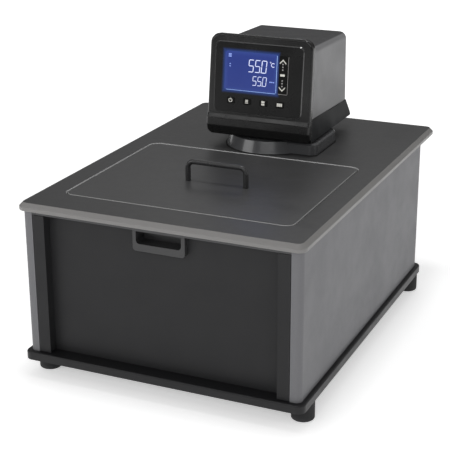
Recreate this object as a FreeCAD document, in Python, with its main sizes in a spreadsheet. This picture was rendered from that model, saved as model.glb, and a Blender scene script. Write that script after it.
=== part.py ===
"""Refrigerated circulating water bath with a swivelling controller head.

Millimetres. +Z is up and the front faces -Y. The origin is on the floor, under the middle of the deck.
"""
import FreeCAD, Part
import math
import os
import re
import Sketcher
from FreeCAD import Placement, Rotation, Vector

DIMENSIONS = {
    # Deck: the bevelled top moulding.
    "deck_width": 417, "deck_front": -298, "deck_back": 298, "deck_top": 260, "deck_bottom": 249,
    "deck_corner": 13, "deck_bevel": 5.5, "deck_round": 1.5, "deck_skin": 4, "deck_hole": 58,
    "rim_bevel": 1.2,
    # Cabinet: folded sheet panels on a moulded tray.
    "body_width": 407, "body_front": -290, "body_back": 234, "sheet": 1.5, "post_width": 15,
    "post_corner": 8, "post_return": 12, "rail_bottom": 243.5, "rail_flange": 24,
    "tray_width": 420, "tray_front": -297, "tray_back": 249, "tray_bottom": 27, "tray_top": 39,
    "tray_floor": 2, "tray_rim": 10.5, "tray_ledge": 25.5, "tray_tail": 18.5, "tray_corner": 11,
    "tray_round": 2.5,
    "foot_radius": 16, "foot_offset": 194, "foot_front": -254, "foot_back": 226,
    "screw_radius": 2.5, "screw_head": 4.5, "screw_cap": 2,
    # Pull-off front panel with a recessed centre and its finger pull.
    "panel_gap": 1, "panel_inset": 0.3, "panel_strip": 17, "panel_recess": 14.8, "panel_return": 11,
    "pull_half": 38.4, "pull_low": 212, "pull_high": 242, "pull_proud": 9, "pull_corner": 5,
    "cavity_half": 33, "cavity_low": 222.5, "cavity_high": 240, "cavity_depth": 22, "pull_wall": 2,
    # Tank, its insulation and the lid.
    "tank_half": 152, "tank_front": -221, "tank_rear": 150, "tank_floor": 112, "tank_wall": 1.2,
    "tank_corner": 10, "tank_sole": 7, "tank_flange": 11, "foam": 14, "foam_gap": 0.4,
    "lid_half": 168, "lid_front": -237, "lid_back": 33, "lid_corner": 13, "lid_top": 259.8,
    "lid_thickness": 2.8, "lid_gap": 1.5, "lid_seat": 256, "lid_lip": 18, "liner_depth": 10,
    "liner_gap": 4, "gasket_width": 10, "bail_span": 89, "bail_rise": 32.6, "bail_radius": 3.8,
    "bail_bend": 9, "bail_column": 8, "bail_row": -117,
    # Pump on the swivel axis, heater, probe and float, all hung from the mounting plate.
    "axis_row": 108, "plate_radius": 64, "plate_thickness": 2, "shaft_radius": 3, "shaft_gap": 0.05,
    "column_radius": 12, "column_bore": 9, "housing_radius": 26, "housing_low": 125,
    "housing_high": 151, "housing_wall": 3, "inlet_radius": 9, "impeller_radius": 19,
    "motor_radius": 25, "motor_low": 290, "motor_high": 350, "motor_flange": 34,
    "line_radius": 6, "line_bore": 4.5, "line_offset": 44, "line_level": 215, "port_end": 268,
    "coil_radius": 4, "coil_row": 141, "element_radius": 3.5, "probe_radius": 2.5,
    "float_radius": 11, "float_height": 18, "float_low": 200, "float_column": -24, "float_row": 70,
    # Drain under the tank.
    "drain_column": 110, "drain_row": -190, "drain_level": 72, "drain_radius": 7, "drain_bore": 5,
    "valve_front": -252, "valve_back": -226, "valve_radius": 11, "spigot_end": -270,
    "spigot_radius": 6.5, "lever_length": 38,
    # Refrigeration.
    "compressor_column": -120, "compressor_row": 197, "compressor_radius": 29,
    "compressor_low": 38, "compressor_high": 168, "pad_radius": 6,
    "condenser_left": -185, "condenser_right": 55, "condenser_front": -262,
    "condenser_back": -226, "condenser_low": 31, "condenser_high": 91,
    "filter_front": -271, "filter_back": -264, "fan_column": 110, "fan_level": 145,
    "fan_size": 92, "fan_depth": 25, "fan_bore": 44, "fan_hub": 17, "fan_tip": 42.5,
    "refrigerant_radius": 3, "dryer_radius": 9, "dryer_low": 60, "dryer_high": 125,
    # Pedestal and swivel.
    "block_left": -25, "block_right": 89.5, "block_front": 59, "block_back": 158, "block_corner": 12,
    "pedestal_low": 261.5, "pedestal_top": 279, "cone_foot": 70.5, "cone_top": 65,
    "pedestal_wall": 3, "gasket_proud": 1.2, "swivel_bore": 24, "swivel_flange": 44,
    "swivel_seat": 284.4, "collar_radius": 30.1, "collar_top": 290,
    # Head: bezel tilted back, housing behind it.
    "head_low": 282, "bezel_front": 46.5, "tilt": 6, "bezel_depth": 10, "bezel_height": 154,
    "bezel_foot": 84, "bezel_brow": 82.3, "bezel_corner": 15, "bezel_toe": 6, "bezel_round": 3.5,
    "chin_round": 5, "chin_line": 33, "chin_bulge": 3,
    "window_left": -72, "window_right": 68.5, "window_low": 36.5, "window_high": 142, "window_corner": 7,
    "window_depth": 0.5, "window_lip": 4, "film": 1.5, "film_edge": 0.8,
    "display_left": -56.5, "display_right": 28.2, "display_low": 70, "display_high": 129,
    "slider_left": 31, "slider_right": 46.2, "slider_low": 70.3, "slider_high": 128,
    "key_width": 13, "key_height": 9, "key_level": 54.8, "key_first": -44.6, "key_pitch": 26.6,
    "key_proud": 1.5, "key_gap": 0.25, "key_travel": 0.8,
    "housing_back_low": 235, "housing_back_high": 232.8, "housing_top_front": 422.3,
    "housing_top_back": 417.9, "parting_front": 313.2, "parting_back": 307.4,
    "housing_foot": 77.2, "housing_brow": 76.7, "housing_round": 11, "rear_round": 8, "shell": 2.5,
    "skirt_back": 243.5, "skirt_lip": 4, "roof_pitch": 0.0272, "skirt_foot": 84, "chassis_low": 284.5,
}
KEY_NAMES = ("key_power", "key_menu", "key_enter", "key_pump")

doc = FreeCAD.newDocument("water_bath")
sheet = doc.addObject("Spreadsheet::Sheet", "dims")
for row, (alias, number) in enumerate(DIMENSIONS.items(), 1):
    sheet.set(f"A{row}", alias)
    sheet.set(f"B{row}", str(number))
    sheet.setAlias(f"B{row}", alias)
doc.recompute()

nodes = []


# ---- Helpers -------------------------------------------------------------------------------------

def size(alias):
    """A driving dimension, read back from the sheet."""
    return float(sheet.get(alias))


def linked(expression):
    """Put the sheet's name in front of every alias in an expression."""
    return re.sub(
        r"[a-z_]+", lambda word: "dims." + word[0] if word[0] in DIMENSIONS else word[0], expression)


def bind(item, name, expression):
    item.setExpression(name, linked(expression))


def new_body(label):
    body = doc.addObject("PartDesign::Body", label)
    body.Label = label
    return body


def keep(item, label):
    """Name a finished sub-part and list it for export."""
    item.Label = label
    nodes.append(item)
    return item


def rect(left, right, low, high):
    return [(left, low), (right, low), (right, high), (left, high)]


def disc(x, y, radius):
    return ("disc", x, y, radius)


def place_point(sketch, geometry, point, x, y):
    for kind, expression in (("DistanceX", x), ("DistanceY", y)):
        index = sketch.addConstraint(Sketcher.Constraint(kind, -1, 1, geometry, point, 1.0))
        bind(sketch, f"Constraints[{index}]", expression)


def draw_disc(sketch, loop):
    index = sketch.addGeometry(Part.Circle(Vector(1, 1, 0), Vector(0, 0, 1), 1))
    place_point(sketch, index, 3, loop[1], loop[2])
    radius = sketch.addConstraint(Sketcher.Constraint("Radius", index, 1.0))
    bind(sketch, f"Constraints[{radius}]", loop[3])


def draw_polygon(sketch, corners):
    """Closed outline whose corners are all placed from the origin."""
    count = len(corners)
    ring = [Vector(50 * math.cos(2 * math.pi * n / count), 50 * math.sin(2 * math.pi * n / count), 0)
            for n in range(count)]
    first = sketch.GeometryCount
    for n in range(count):
        sketch.addGeometry(Part.LineSegment(ring[n], ring[(n + 1) % count]))
    for n in range(count):
        sketch.addConstraint(Sketcher.Constraint("Coincident", first + n, 2, first + (n + 1) % count, 1))
    for n, (x, y) in enumerate(corners):
        place_point(sketch, first + n, 1, x, y)


def add_sketch(body, plane, start, loops):
    """Sketch of closed loops on an origin plane, moved along the plane's world axis to start."""
    sketch = body.newObject("Sketcher::SketchObject", body.Label + "_sketch")
    support = [item for item in body.Origin.OriginFeatures if item.Role == plane + "_Plane"]
    sketch.AttachmentSupport = [(support[0], "")]
    sketch.MapMode = "FlatFace"
    for loop in loops:
        if loop[0] == "disc":
            draw_disc(sketch, loop)
        else:
            draw_polygon(sketch, loop)
    sign = "-1" if plane == "XZ" else "1"
    bind(sketch, "AttachmentOffset.Base.z", f"{sign} * ({start})")
    return sketch


def pad(body, plane, start, end, *loops):
    """Add material from start to end along the plane's world axis."""
    feature = body.newObject("PartDesign::Pad", body.Label + "_pad")
    feature.Profile = add_sketch(body, plane, start, loops)
    bind(feature, "Length", f"({end}) - ({start})")
    feature.Reversed = plane == "XZ"
    doc.recompute()
    return feature


def pocket(body, plane, start, end, *loops):
    """Remove material from start to end along the plane's world axis."""
    before = body.Shape.Volume
    feature = body.newObject("PartDesign::Pocket", body.Label + "_pocket")
    feature.Profile = add_sketch(body, plane, start, loops)
    bind(feature, "Length", f"({end}) - ({start})")
    feature.Reversed = plane != "XZ"
    doc.recompute()
    if not feature.Shape.Volume < before - 1e-6:
        raise RuntimeError(f"a pocket in {body.Label} removes nothing")
    return feature


def edge_names(shape, test):
    return [f"Edge{n}" for n, edge in enumerate(shape.Edges, 1) if test(edge.BoundBox)]


def dress(body, kind, name, expression, test):
    """Fillet or chamfer the edges whose bounding box passes the test."""
    base = body.Tip
    feature = body.newObject("PartDesign::" + kind, body.Label + "_" + kind.lower())
    feature.Base = (base, edge_names(base.Shape, test))
    bind(feature, name, expression)
    doc.recompute()
    if not feature.Base[1] or feature.Shape.isNull():
        raise RuntimeError(f"a {kind.lower()} of {body.Label} has no edges")
    return feature


def fillet(body, radius, test):
    return dress(body, "Fillet", "Radius", radius, test)


def chamfer(body, length, test):
    return dress(body, "Chamfer", "Size", length, test)


def upright(box):
    return box.XLength < 1e-3 and box.YLength < 1e-3


def near(value, target, slack=0.05):
    return abs(value - target) < slack


def level(box, height):
    return box.ZLength < 1e-3 and near(box.ZMin, height)


def box(label, x, y, z):
    """Parametric box given by its low and high expressions on each axis."""
    item = doc.addObject("Part::Box", label)
    for name, axis, (low, high) in zip(("Length", "Width", "Height"), "xyz", (x, y, z)):
        bind(item, name, f"({high}) - ({low})")
        bind(item, f"Placement.Base.{axis}", low)
    return item


TURNS = {"x": Rotation(Vector(0, 1, 0), 90), "y": Rotation(Vector(1, 0, 0), -90), "z": Rotation()}


def cylinder(label, axis, x, y, z, radius, length):
    """Parametric cylinder from a point along +X, +Y or +Z."""
    item = doc.addObject("Part::Cylinder", label)
    item.Placement = Placement(Vector(), TURNS[axis])
    bind(item, "Radius", radius)
    bind(item, "Height", length)
    for name, expression in zip("xyz", (x, y, z)):
        bind(item, f"Placement.Base.{name}", expression)
    return item


def fuse(label, *items):
    joined = doc.addObject("Part::MultiFuse", label)
    joined.Shapes = list(items)
    return joined


def cut(label, base, *tools):
    for n, tool in enumerate(tools):
        result = doc.addObject("Part::Cut", f"{label}_{n}")
        result.Base = base
        result.Tool = tool
        base = result
    return base


def group(label, shapes):
    """Several separate solids that share one node."""
    item = doc.addObject("Part::Feature", label)
    item.Shape = Part.makeCompound(shapes)
    return keep(item, label)


def moved(shape, x, y, z):
    copy = shape.copy()
    copy.translate(Vector(x, y, z))
    return copy


def bent_path(points, radius):
    """Straight runs joined by tangent arcs, as one wire."""
    edges = []
    start = points[0]
    for before, corner, after in zip(points, points[1:], points[2:]):
        inward = (before - corner).normalize()
        outward = (after - corner).normalize()
        half = inward.getAngle(outward) / 2
        reach = radius / math.tan(half)
        centre = corner + (inward + outward).normalize() * (radius / math.sin(half))
        middle = centre + (corner - centre).normalize() * radius
        enter = corner + inward * reach
        leave = corner + outward * reach
        edges.append(Part.LineSegment(start, enter).toShape())
        edges.append(Part.Arc(enter, middle, leave).toShape())
        start = leave
    edges.append(Part.LineSegment(start, points[-1]).toShape())
    return Part.Wire(edges)


def sweep(points, bend, radius):
    """Round rod along a bent path, checked against its section times its length."""
    path = bent_path(points, bend) if len(points) > 2 else Part.makePolygon(points)
    heading = points[1] - points[0]
    section = Part.Wire(Part.makeCircle(radius, points[0], heading))
    rod = path.makePipeShell([section], True, True)
    expected = math.pi * radius ** 2 * path.Length
    if abs(rod.Volume / expected - 1) > 0.01:
        raise RuntimeError("a swept rod has the wrong volume")
    return rod


def tube(points, bend, radius, bore):
    return sweep(points, bend, radius).cut(sweep(points, bend, bore))


def feature(label, shape):
    item = doc.addObject("Part::Feature", label)
    item.Shape = shape
    return keep(item, label)


# ---- Cabinet -------------------------------------------------------------------------------------

def foot_places():
    rows = (size("foot_front"), size("foot_back"))
    return [(side * size("foot_offset"), row) for side in (-1, 1) for row in rows]


def base_tray():
    body = new_body("base_tray")
    pad(body, "XY", "tray_bottom", "tray_top",
        rect("-tray_width / 2", "tray_width / 2", "tray_front", "tray_back"))
    fillet(body, "tray_corner", upright)
    fillet(body, "tray_round", lambda edge: level(edge, size("tray_top")))
    pocket(body, "XY", "tray_bottom + tray_floor", "tray_top",
           rect("-tray_width / 2 + tray_rim", "tray_width / 2 - tray_rim",
                "tray_front + tray_ledge", "tray_back - tray_tail"))
    holes = [disc(f"{side} * foot_offset", end, "screw_radius + 0.2")
             for side in ("-1", "1") for end in ("foot_front", "foot_back")]
    pocket(body, "XY", "tray_bottom", "tray_top", *holes)
    slots = [rect("-60", "60", f"{10 + 12 * n}", f"{16 + 12 * n}") for n in range(8)]
    pocket(body, "XY", "tray_bottom", "tray_bottom + tray_floor", *slots)
    keep(body, "base_tray")


def rubber_feet():
    radius = size("foot_radius")
    height = size("tray_bottom")
    foot = Part.makeCylinder(radius, height)
    foot = foot.makeFillet(3, [edge for edge in foot.Edges if level(edge.BoundBox, 0)])
    foot = foot.cut(Part.makeCylinder(6, height - 8))
    foot = foot.cut(Part.makeCylinder(size("screw_radius") + 0.2, height))
    group("rubber_feet", [moved(foot, x, y, 0) for x, y in foot_places()])


def side_panel(label, side):
    """Folded panel: a rounded front post, the side wall and a rear flange."""
    def across(expression):
        return f"{side} * ({expression})"
    half = "body_width / 2"
    wall = "body_width / 2 - sheet"
    front = "body_front"
    corners = [
        (across(half + " - post_width"), front),
        (across(half), front),
        (across(half), "body_back"),
        (across(half + " - post_width"), "body_back"),
        (across(half + " - post_width"), "body_back - sheet"),
        (across(wall), "body_back - sheet"),
        (across(wall), front + " + sheet"),
        (across(half + " - post_width + sheet"), front + " + sheet"),
        (across(half + " - post_width + sheet"), front + " + post_return"),
        (across(half + " - post_width"), front + " + post_return"),
    ]
    body = new_body(label)
    pad(body, "XY", "tray_top", "deck_bottom", corners)
    outer = size("body_width") / 2
    thin = size("sheet")
    bow = size("body_front")
    fillet(body, "post_corner",
           lambda edge: upright(edge) and near(abs(edge.XMin), outer) and near(edge.YMin, bow))
    fillet(body, "post_corner - sheet",
           lambda edge: upright(edge) and near(abs(edge.XMin), outer - thin) and near(edge.YMin, bow + thin))
    keep(body, label)


def front_rail():
    body = new_body("front_rail")
    pad(body, "YZ", "-body_width / 2 + post_width", "body_width / 2 - post_width", [
        ("body_front", "rail_bottom"), ("body_front + sheet", "rail_bottom"),
        ("body_front + sheet", "deck_bottom - sheet"), ("body_front + rail_flange", "deck_bottom - sheet"),
        ("body_front + rail_flange", "deck_bottom"), ("body_front", "deck_bottom")])
    keep(body, "front_rail")


def rear_panel():
    edge = "body_width / 2 - post_width"
    body = new_body("rear_panel")
    pad(body, "XZ", "body_back - sheet", "body_back", rect("-" + edge.replace(" - ", " + "), edge,
                                                        "tray_top", "deck_bottom"))
    ports = [disc(f"{side} * line_offset", "line_level", "line_radius + 0.3") for side in ("-1", "1")]
    pocket(body, "XZ", "body_back - sheet", "body_back",
           disc("fan_column", "fan_level", "fan_bore - 1"),
           rect("-164", "-96", "197", "219"), *ports)
    slots = [rect("-160", "-90", f"{60 + 13 * n}", f"{65 + 13 * n}") for n in range(9)]
    pocket(body, "XZ", "body_back - sheet", "body_back", *slots)
    keep(body, "rear_panel")


def deck():
    body = new_body("deck")
    pad(body, "XY", "deck_bottom", "deck_top",
        rect("-deck_width / 2", "deck_width / 2", "deck_front", "deck_back"))
    fillet(body, "deck_corner", upright)
    chamfer(body, "deck_bevel", lambda edge: level(edge, size("deck_top")))
    shoulder = size("deck_top") - size("deck_bevel")
    fillet(body, "deck_round", lambda edge: level(edge, shoulder) or level(edge, size("deck_bottom")))
    pocket(body, "XY", "lid_seat", "deck_top",
           rect("-lid_half - lid_gap", "lid_half + lid_gap", "lid_front - lid_gap", "lid_back + lid_gap"))
    reach = size("lid_half") + size("lid_gap")
    fillet(body, "lid_corner + lid_gap",
           lambda edge: upright(edge) and near(abs(edge.XMin), reach) and near(edge.ZMin, size("lid_seat")))
    pocket(body, "XY", "deck_bottom", "lid_seat",
           rect("-lid_half + lid_lip", "lid_half - lid_lip", "lid_front + lid_lip", "lid_back - lid_lip"))
    chamfer(body, "rim_bevel", lambda edge: level(edge, size("deck_top")) and edge.XMax < reach + 0.1
            and -reach - 0.1 < edge.XMin and edge.YMax < size("lid_back") + size("lid_gap") + 0.1)
    opening = size("lid_half") - size("lid_lip")
    fillet(body, "lid_corner", lambda edge: upright(edge) and near(abs(edge.XMin), opening))
    pocket(body, "XY", "deck_bottom", "deck_top - deck_skin",
           rect("-195", "195", "body_back + 7", "deck_back - 12"))
    pocket(body, "XY", "deck_bottom", "deck_top", disc("0", "axis_row", "deck_hole"))
    keep(body, "deck")


def cabinet_screws():
    """Screws through the feet into the tray, and the rear panel's row of screws."""
    radius = size("screw_radius")
    head = size("screw_head")
    cap = size("screw_cap")
    foot_screw = Part.makeCylinder(head, cap).fuse(Part.makeCylinder(radius, 18))
    recess = size("tray_bottom") - 8 - cap
    shapes = [moved(foot_screw, x, y, recess) for x, y in foot_places()]
    upright_screw = Part.makeCylinder(head, cap, Vector(), Vector(0, 1, 0))
    places = [(side * 180, height) for side in (-1, 1) for height in (50, 144, 238)]
    shapes += [moved(upright_screw, x, size("body_back"), z) for x, z in places]
    group("cabinet_screws", shapes)


# ---- Front panel ---------------------------------------------------------------------------------

def front_panel():
    """Hat section: side strips near the front plane and a recessed centre."""
    outer = "(body_width / 2 - post_width - panel_gap)"
    step = f"({outer} - panel_strip)"
    face = "(body_front + panel_inset)"
    corners = [
        (outer, face), (outer, f"{face} + panel_return"), (f"{outer} - sheet", f"{face} + panel_return"),
        (f"{outer} - sheet", f"{face} + sheet"), (f"{step} + sheet", f"{face} + sheet"),
        (f"{step} + sheet", f"{face} + panel_recess + sheet"),
    ]
    mirror = [(f"-1 * ({x})", y) for x, y in reversed(corners)]
    front = [(f"-1 * {outer}", face), (f"-1 * {step}", face), (f"-1 * {step}", f"{face} + panel_recess"),
             (step, f"{face} + panel_recess"), (step, face)]
    body = new_body("front_panel")
    pad(body, "XY", "tray_top + 0.6", "rail_bottom - panel_gap", corners + mirror[:-1] + front)
    pocket(body, "XZ", f"{face}", f"{face} + panel_recess + 2 * sheet",
           rect("-cavity_half - pull_wall - 0.2", "cavity_half + pull_wall + 0.2",
                "cavity_low - pull_wall - 0.2", "rail_bottom + 1"))
    keep(body, "front_panel")


def pull_cup():
    """Finger pull: a proud bezel with a closed cup behind it."""
    seat = "(body_front + panel_inset + panel_recess)"
    body = new_body("pull_cup")
    pad(body, "XZ", f"{seat} - pull_proud", seat, rect("-pull_half", "pull_half", "pull_low", "pull_high"))
    fillet(body, "pull_corner", lambda edge: edge.YLength > 1 and near(edge.ZMin, size("pull_low")))
    lip = size("body_front") + size("panel_inset") + size("panel_recess") - size("pull_proud")
    fillet(body, "1.2", lambda edge: near(edge.YMin, lip) and near(edge.YMax, lip))
    pad(body, "XZ", seat, f"{seat} - pull_proud + cavity_depth + pull_wall",
        rect("-cavity_half - pull_wall", "cavity_half + pull_wall", "cavity_low - pull_wall", "pull_high"))
    pocket(body, "XZ", f"{seat} - pull_proud", f"{seat} - pull_proud + cavity_depth",
           rect("-cavity_half", "cavity_half", "cavity_low", "cavity_high"))
    fillet(body, "pull_corner",
           lambda edge: edge.YLength > 10 and near(edge.ZMin, size("cavity_low")))
    keep(body, "pull_cup")


# ---- Tank and lid --------------------------------------------------------------------------------

def tank():
    body = new_body("tank")
    skin = "tank_wall"
    floor = size("tank_floor")
    pad(body, "XY", f"tank_floor - {skin}", "deck_bottom",
        rect(f"-tank_half - {skin}", f"tank_half + {skin}", f"tank_front - {skin}", f"tank_rear + {skin}"))
    pocket(body, "XY", "tank_floor", "deck_bottom",
           rect("-tank_half", "tank_half", "tank_front", "tank_rear"))
    fillet(body, "tank_corner", lambda edge: upright(edge) and near(edge.ZMin, floor))
    sole = floor - size("tank_wall")
    fillet(body, f"tank_corner + {skin}", lambda edge: upright(edge) and near(edge.ZMin, sole))
    fillet(body, "tank_sole", lambda edge: level(edge, floor))
    fillet(body, f"tank_sole + {skin}", lambda edge: level(edge, sole))
    brim = f"({skin} + tank_flange)"
    pad(body, "XY", f"deck_bottom - {skin}", "deck_bottom",
        rect(f"-tank_half - {brim}", f"tank_half + {brim}", f"tank_front - {brim}", f"tank_rear + {brim}"),
        rect(f"-tank_half - {skin} + 0.6", f"tank_half + {skin} - 0.6",
             f"tank_front - {skin} + 0.6", f"tank_rear + {skin} - 0.6"))
    pocket(body, "XY", f"tank_floor - {skin}", "tank_floor",
           disc("drain_column", "drain_row", "drain_radius + 0.1"))
    ports = [disc(f"{side} * line_offset", "line_level", "line_radius + 0.1") for side in ("-1", "1")]
    coils = [disc(column, "226", "coil_radius + 0.1") for column in ("-75", "-145")]
    pocket(body, "XZ", "tank_rear - tank_corner", "tank_rear + tank_wall", *ports, *coils)
    keep(body, "tank")


def tank_insulation():
    body = new_body("tank_insulation")
    gap = "(tank_wall + foam_gap)"
    far = "(tank_wall + foam)"
    pad(body, "XY", f"tank_floor - {far}", f"deck_bottom - {gap}",
        rect(f"-tank_half - {far}", f"tank_half + {far}", f"tank_front - {far}", f"tank_rear + {far}"))
    fillet(body, "6", upright)
    pocket(body, "XY", f"tank_floor - {gap}", f"deck_bottom - {gap}",
           rect(f"-tank_half - {gap}", f"tank_half + {gap}", f"tank_front - {gap}", f"tank_rear + {gap}"))
    pocket(body, "XY", f"tank_floor - {far}", f"tank_floor - {gap}",
           disc("drain_column", "drain_row", "drain_radius + 4"))
    ports = [disc(f"{side} * line_offset", "line_level", "line_radius + 1") for side in ("-1", "1")]
    coils = [disc(column, "226", "coil_radius + 1") for column in ("-75", "-145")]
    pocket(body, "XZ", f"tank_rear + {gap}", f"tank_rear + {far}", *ports, *coils)
    keep(body, "tank_insulation")


def lid_plate():
    body = new_body("lid_plate")
    pad(body, "XY", "lid_top - lid_thickness", "lid_top",
        rect("-lid_half", "lid_half", "lid_front", "lid_back"))
    fillet(body, "lid_corner", upright)
    fillet(body, "1.2", lambda edge: level(edge, size("lid_top")))
    keep(body, "lid_plate")


def lid_liner():
    body = new_body("lid_liner")
    edge = "lid_half - lid_lip - liner_gap"
    pad(body, "XY", "lid_top - lid_thickness - liner_depth", "lid_top - lid_thickness",
        rect("-lid_half + lid_lip + liner_gap", edge,
             "lid_front + lid_lip + liner_gap", "lid_back - lid_lip - liner_gap"))
    fillet(body, "lid_corner - 3", upright)
    under = size("lid_top") - size("lid_thickness") - size("liner_depth")
    fillet(body, "2", lambda item: level(item, under))
    keep(body, "lid_liner")


def lid_gasket():
    body = new_body("lid_gasket")
    rim = "2"
    pad(body, "XY", "lid_seat", "lid_top - lid_thickness",
        rect(f"-lid_half + {rim}", f"lid_half - {rim}", f"lid_front + {rim}", f"lid_back - {rim}"),
        rect(f"-lid_half + {rim} + gasket_width", f"lid_half - {rim} - gasket_width",
             f"lid_front + {rim} + gasket_width", f"lid_back - {rim} - gasket_width"))
    fillet(body, "lid_corner - 2", lambda edge: upright(edge) and abs(edge.XMin) > size("lid_half") - 5)
    keep(body, "lid_gasket")


def lid_handle():
    half = size("bail_span") / 2
    row = size("bail_row")
    foot = size("lid_top")
    top = foot + size("bail_rise") - size("bail_radius")
    middle = size("bail_column")
    left = middle - half
    right = middle + half
    points = [Vector(left, row, foot), Vector(left, row, top),
              Vector(right, row, top), Vector(right, row, foot)]
    feature("lid_handle", sweep(points, size("bail_bend"), size("bail_radius")))


# ---- Pump, heater and sensors --------------------------------------------------------------------

def mounting_plate():
    body = new_body("mounting_plate")
    holes = [disc("0", "axis_row", "column_bore"), disc("42", "90", "element_radius + 0.1"),
             disc("50", "120", "element_radius + 0.1"), disc("24", "70", "probe_radius + 0.1"),
             disc("float_column", "float_row", "probe_radius + 0.1")]
    pad(body, "XY", "deck_top", "deck_top + plate_thickness", disc("0", "axis_row", "plate_radius"), *holes)
    keep(body, "mounting_plate")


def pump_housing():
    body = new_body("pump_housing")
    pad(body, "XY", "housing_low", "housing_high", disc("0", "axis_row", "housing_radius"))
    pocket(body, "XY", "housing_low + housing_wall", "housing_high - housing_wall",
           disc("0", "axis_row", "housing_radius - housing_wall"))
    pocket(body, "XY", "housing_low", "housing_low + housing_wall", disc("0", "axis_row", "inlet_radius"))
    pocket(body, "XY", "housing_high - housing_wall", "housing_high",
           disc("0", "axis_row", "shaft_radius + 0.5"))
    pocket(body, "YZ", "-housing_radius - 1", "-housing_radius + 8",
           disc("axis_row", "(housing_low + housing_high) / 2", "line_radius + 0.05"))
    keep(body, "pump_housing")


def pump_column():
    low = "housing_high"
    outer = cylinder("column_outer", "z", "0", "axis_row", low, "column_radius", f"deck_top - {low}")
    inner = cylinder("column_inner", "z", "0", "axis_row", low, "column_bore", f"deck_top - {low}")
    keep(cut("pump_column", outer, inner), "pump_column")


def pump_rotor():
    """Long shaft from the motor down to a vaned impeller."""
    centre = Vector(0, size("axis_row"), 0)
    low = size("housing_low") + size("housing_wall") + 1.5
    length = size("motor_high") - 30 - low
    shaft = Part.makeCylinder(size("shaft_radius"), length, centre + Vector(0, 0, low))
    impeller = Part.makeCylinder(size("impeller_radius"), 2, centre + Vector(0, 0, low + 11))
    impeller = impeller.fuse([shaft, Part.makeCylinder(6, 13, centre + Vector(0, 0, low))])
    for n in range(6):
        vane = Part.makeBox(size("impeller_radius") - 4, 1.6, 11.5, Vector(3, -0.8, low))
        vane.rotate(Vector(), Vector(0, 0, 1), 60 * n)
        vane.translate(centre)
        impeller = impeller.fuse(vane)
    feature("pump_rotor", impeller.removeSplitter())


def pump_motor():
    body = new_body("pump_motor")
    pad(body, "XY", "motor_low", "motor_low + 3", disc("0", "axis_row", "motor_flange"))
    pad(body, "XY", "motor_low + 3", "motor_high", disc("0", "axis_row", "motor_radius"))
    fillet(body, "3", lambda edge: level(edge, size("motor_high")))
    pocket(body, "XY", "motor_low", "motor_high - 29",
           disc("0", "axis_row", "shaft_radius + shaft_gap"))
    keep(body, "pump_motor")


def water_lines():
    row = size("axis_row")
    offset = size("line_offset")
    height = size("line_level")
    middle = (size("housing_low") + size("housing_high")) / 2
    end = size("port_end")
    supply = [Vector(-size("housing_radius") + 2, row, middle), Vector(-offset, row, middle),
              Vector(-offset, row, height), Vector(-offset, end, height)]
    back = [Vector(offset, 128, height), Vector(offset, end, height)]
    for label, points in (("supply_line", supply), ("return_line", back)):
        side = points[-1].x
        pipe = tube(points, 10, size("line_radius"), size("line_bore"))
        nut = Part.makeCylinder(size("line_radius") + 5, 6, Vector(side, size("body_back"), height),
                                Vector(0, 1, 0))
        nut = nut.cut(Part.makeCylinder(size("line_bore"), 6, Vector(side, size("body_back"), height),
                                        Vector(0, 1, 0)))
        feature(label, pipe.fuse(nut))


def evaporator_coil():
    row = size("coil_row")
    outside = size("tank_rear") + size("tank_wall") + size("foam") + 8
    left, right, riser = -135, 135, -145
    points = [Vector(-75, outside, 226), Vector(-75, row, 226), Vector(-75, row, 200)]
    points += [Vector(right, row, 200), Vector(right, row, 180), Vector(left, row, 180)]
    points += [Vector(left, row, 160), Vector(right, row, 160), Vector(right, row, 140)]
    points += [Vector(riser, row, 140), Vector(riser, row, 226), Vector(riser, outside, 226)]
    feature("evaporator_coil", sweep(points, 9.5, size("coil_radius")))


def heater_coil():
    top = size("deck_top") + 12
    points = [Vector(42, 90, top), Vector(42, 90, 126), Vector(130, 90, 126), Vector(130, 120, 126),
              Vector(50, 120, 126), Vector(50, 120, top)]
    feature("heater_coil", sweep(points, 12, size("element_radius")))


def temperature_probe():
    stem = cylinder("probe_stem", "z", "24", "70", "130", "probe_radius", "deck_top + 8 - 130")
    collar = cylinder("probe_collar", "z", "24", "70", "deck_top + plate_thickness", "5", "5")
    keep(fuse("temperature_probe", stem, collar), "temperature_probe")


def level_sensor():
    place = ("float_column", "float_row")
    stem = cylinder("float_stem_rod", "z", *place, "190", "probe_radius", "deck_top + 8 - 190")
    stop = cylinder("float_stop", "z", *place, "190", "5", "float_low - 190")
    nut = cylinder("float_nut", "z", *place, "deck_top + plate_thickness", "5", "5")
    keep(fuse("float_stem", stem, stop, nut), "float_stem")
    outer = cylinder("float_outer", "z", *place, "float_low", "float_radius", "float_height")
    bore = cylinder("float_bore", "z", *place, "float_low", "probe_radius + 0.1", "float_height")
    keep(cut("level_float", outer, bore), "level_float")


# ---- Drain ---------------------------------------------------------------------------------------

def drain():
    column = size("drain_column")
    row = size("drain_row")
    height = size("drain_level")
    top = size("tank_floor")
    points = [Vector(column, row, top), Vector(column, row, height),
              Vector(column, size("valve_back"), height)]
    feature("drain_pipe", tube(points, 14, size("drain_radius"), size("drain_bore")))
    along = ("drain_column", "valve_front", "drain_level")
    barrel = cylinder("valve_barrel", "y", *along, "valve_radius", "valve_back - valve_front")
    spigot = cylinder("valve_spigot", "y", "drain_column", "spigot_end", "drain_level",
                      "spigot_radius", "valve_front - spigot_end")
    bonnet = cylinder("valve_bonnet", "z", "drain_column", "(valve_front + valve_back) / 2",
                      "drain_level + 8", "6", "6")
    bore = cylinder("valve_bore", "y", "drain_column", "spigot_end", "drain_level", "drain_bore",
                    "valve_back - spigot_end")
    stem_hole = cylinder("valve_stem_hole", "z", "drain_column", "(valve_front + valve_back) / 2",
                         "drain_level + 6", "2.55", "9")
    keep(cut("drain_valve", fuse("valve_parts", barrel, spigot, bonnet), bore, stem_hole), "drain_valve")


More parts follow.
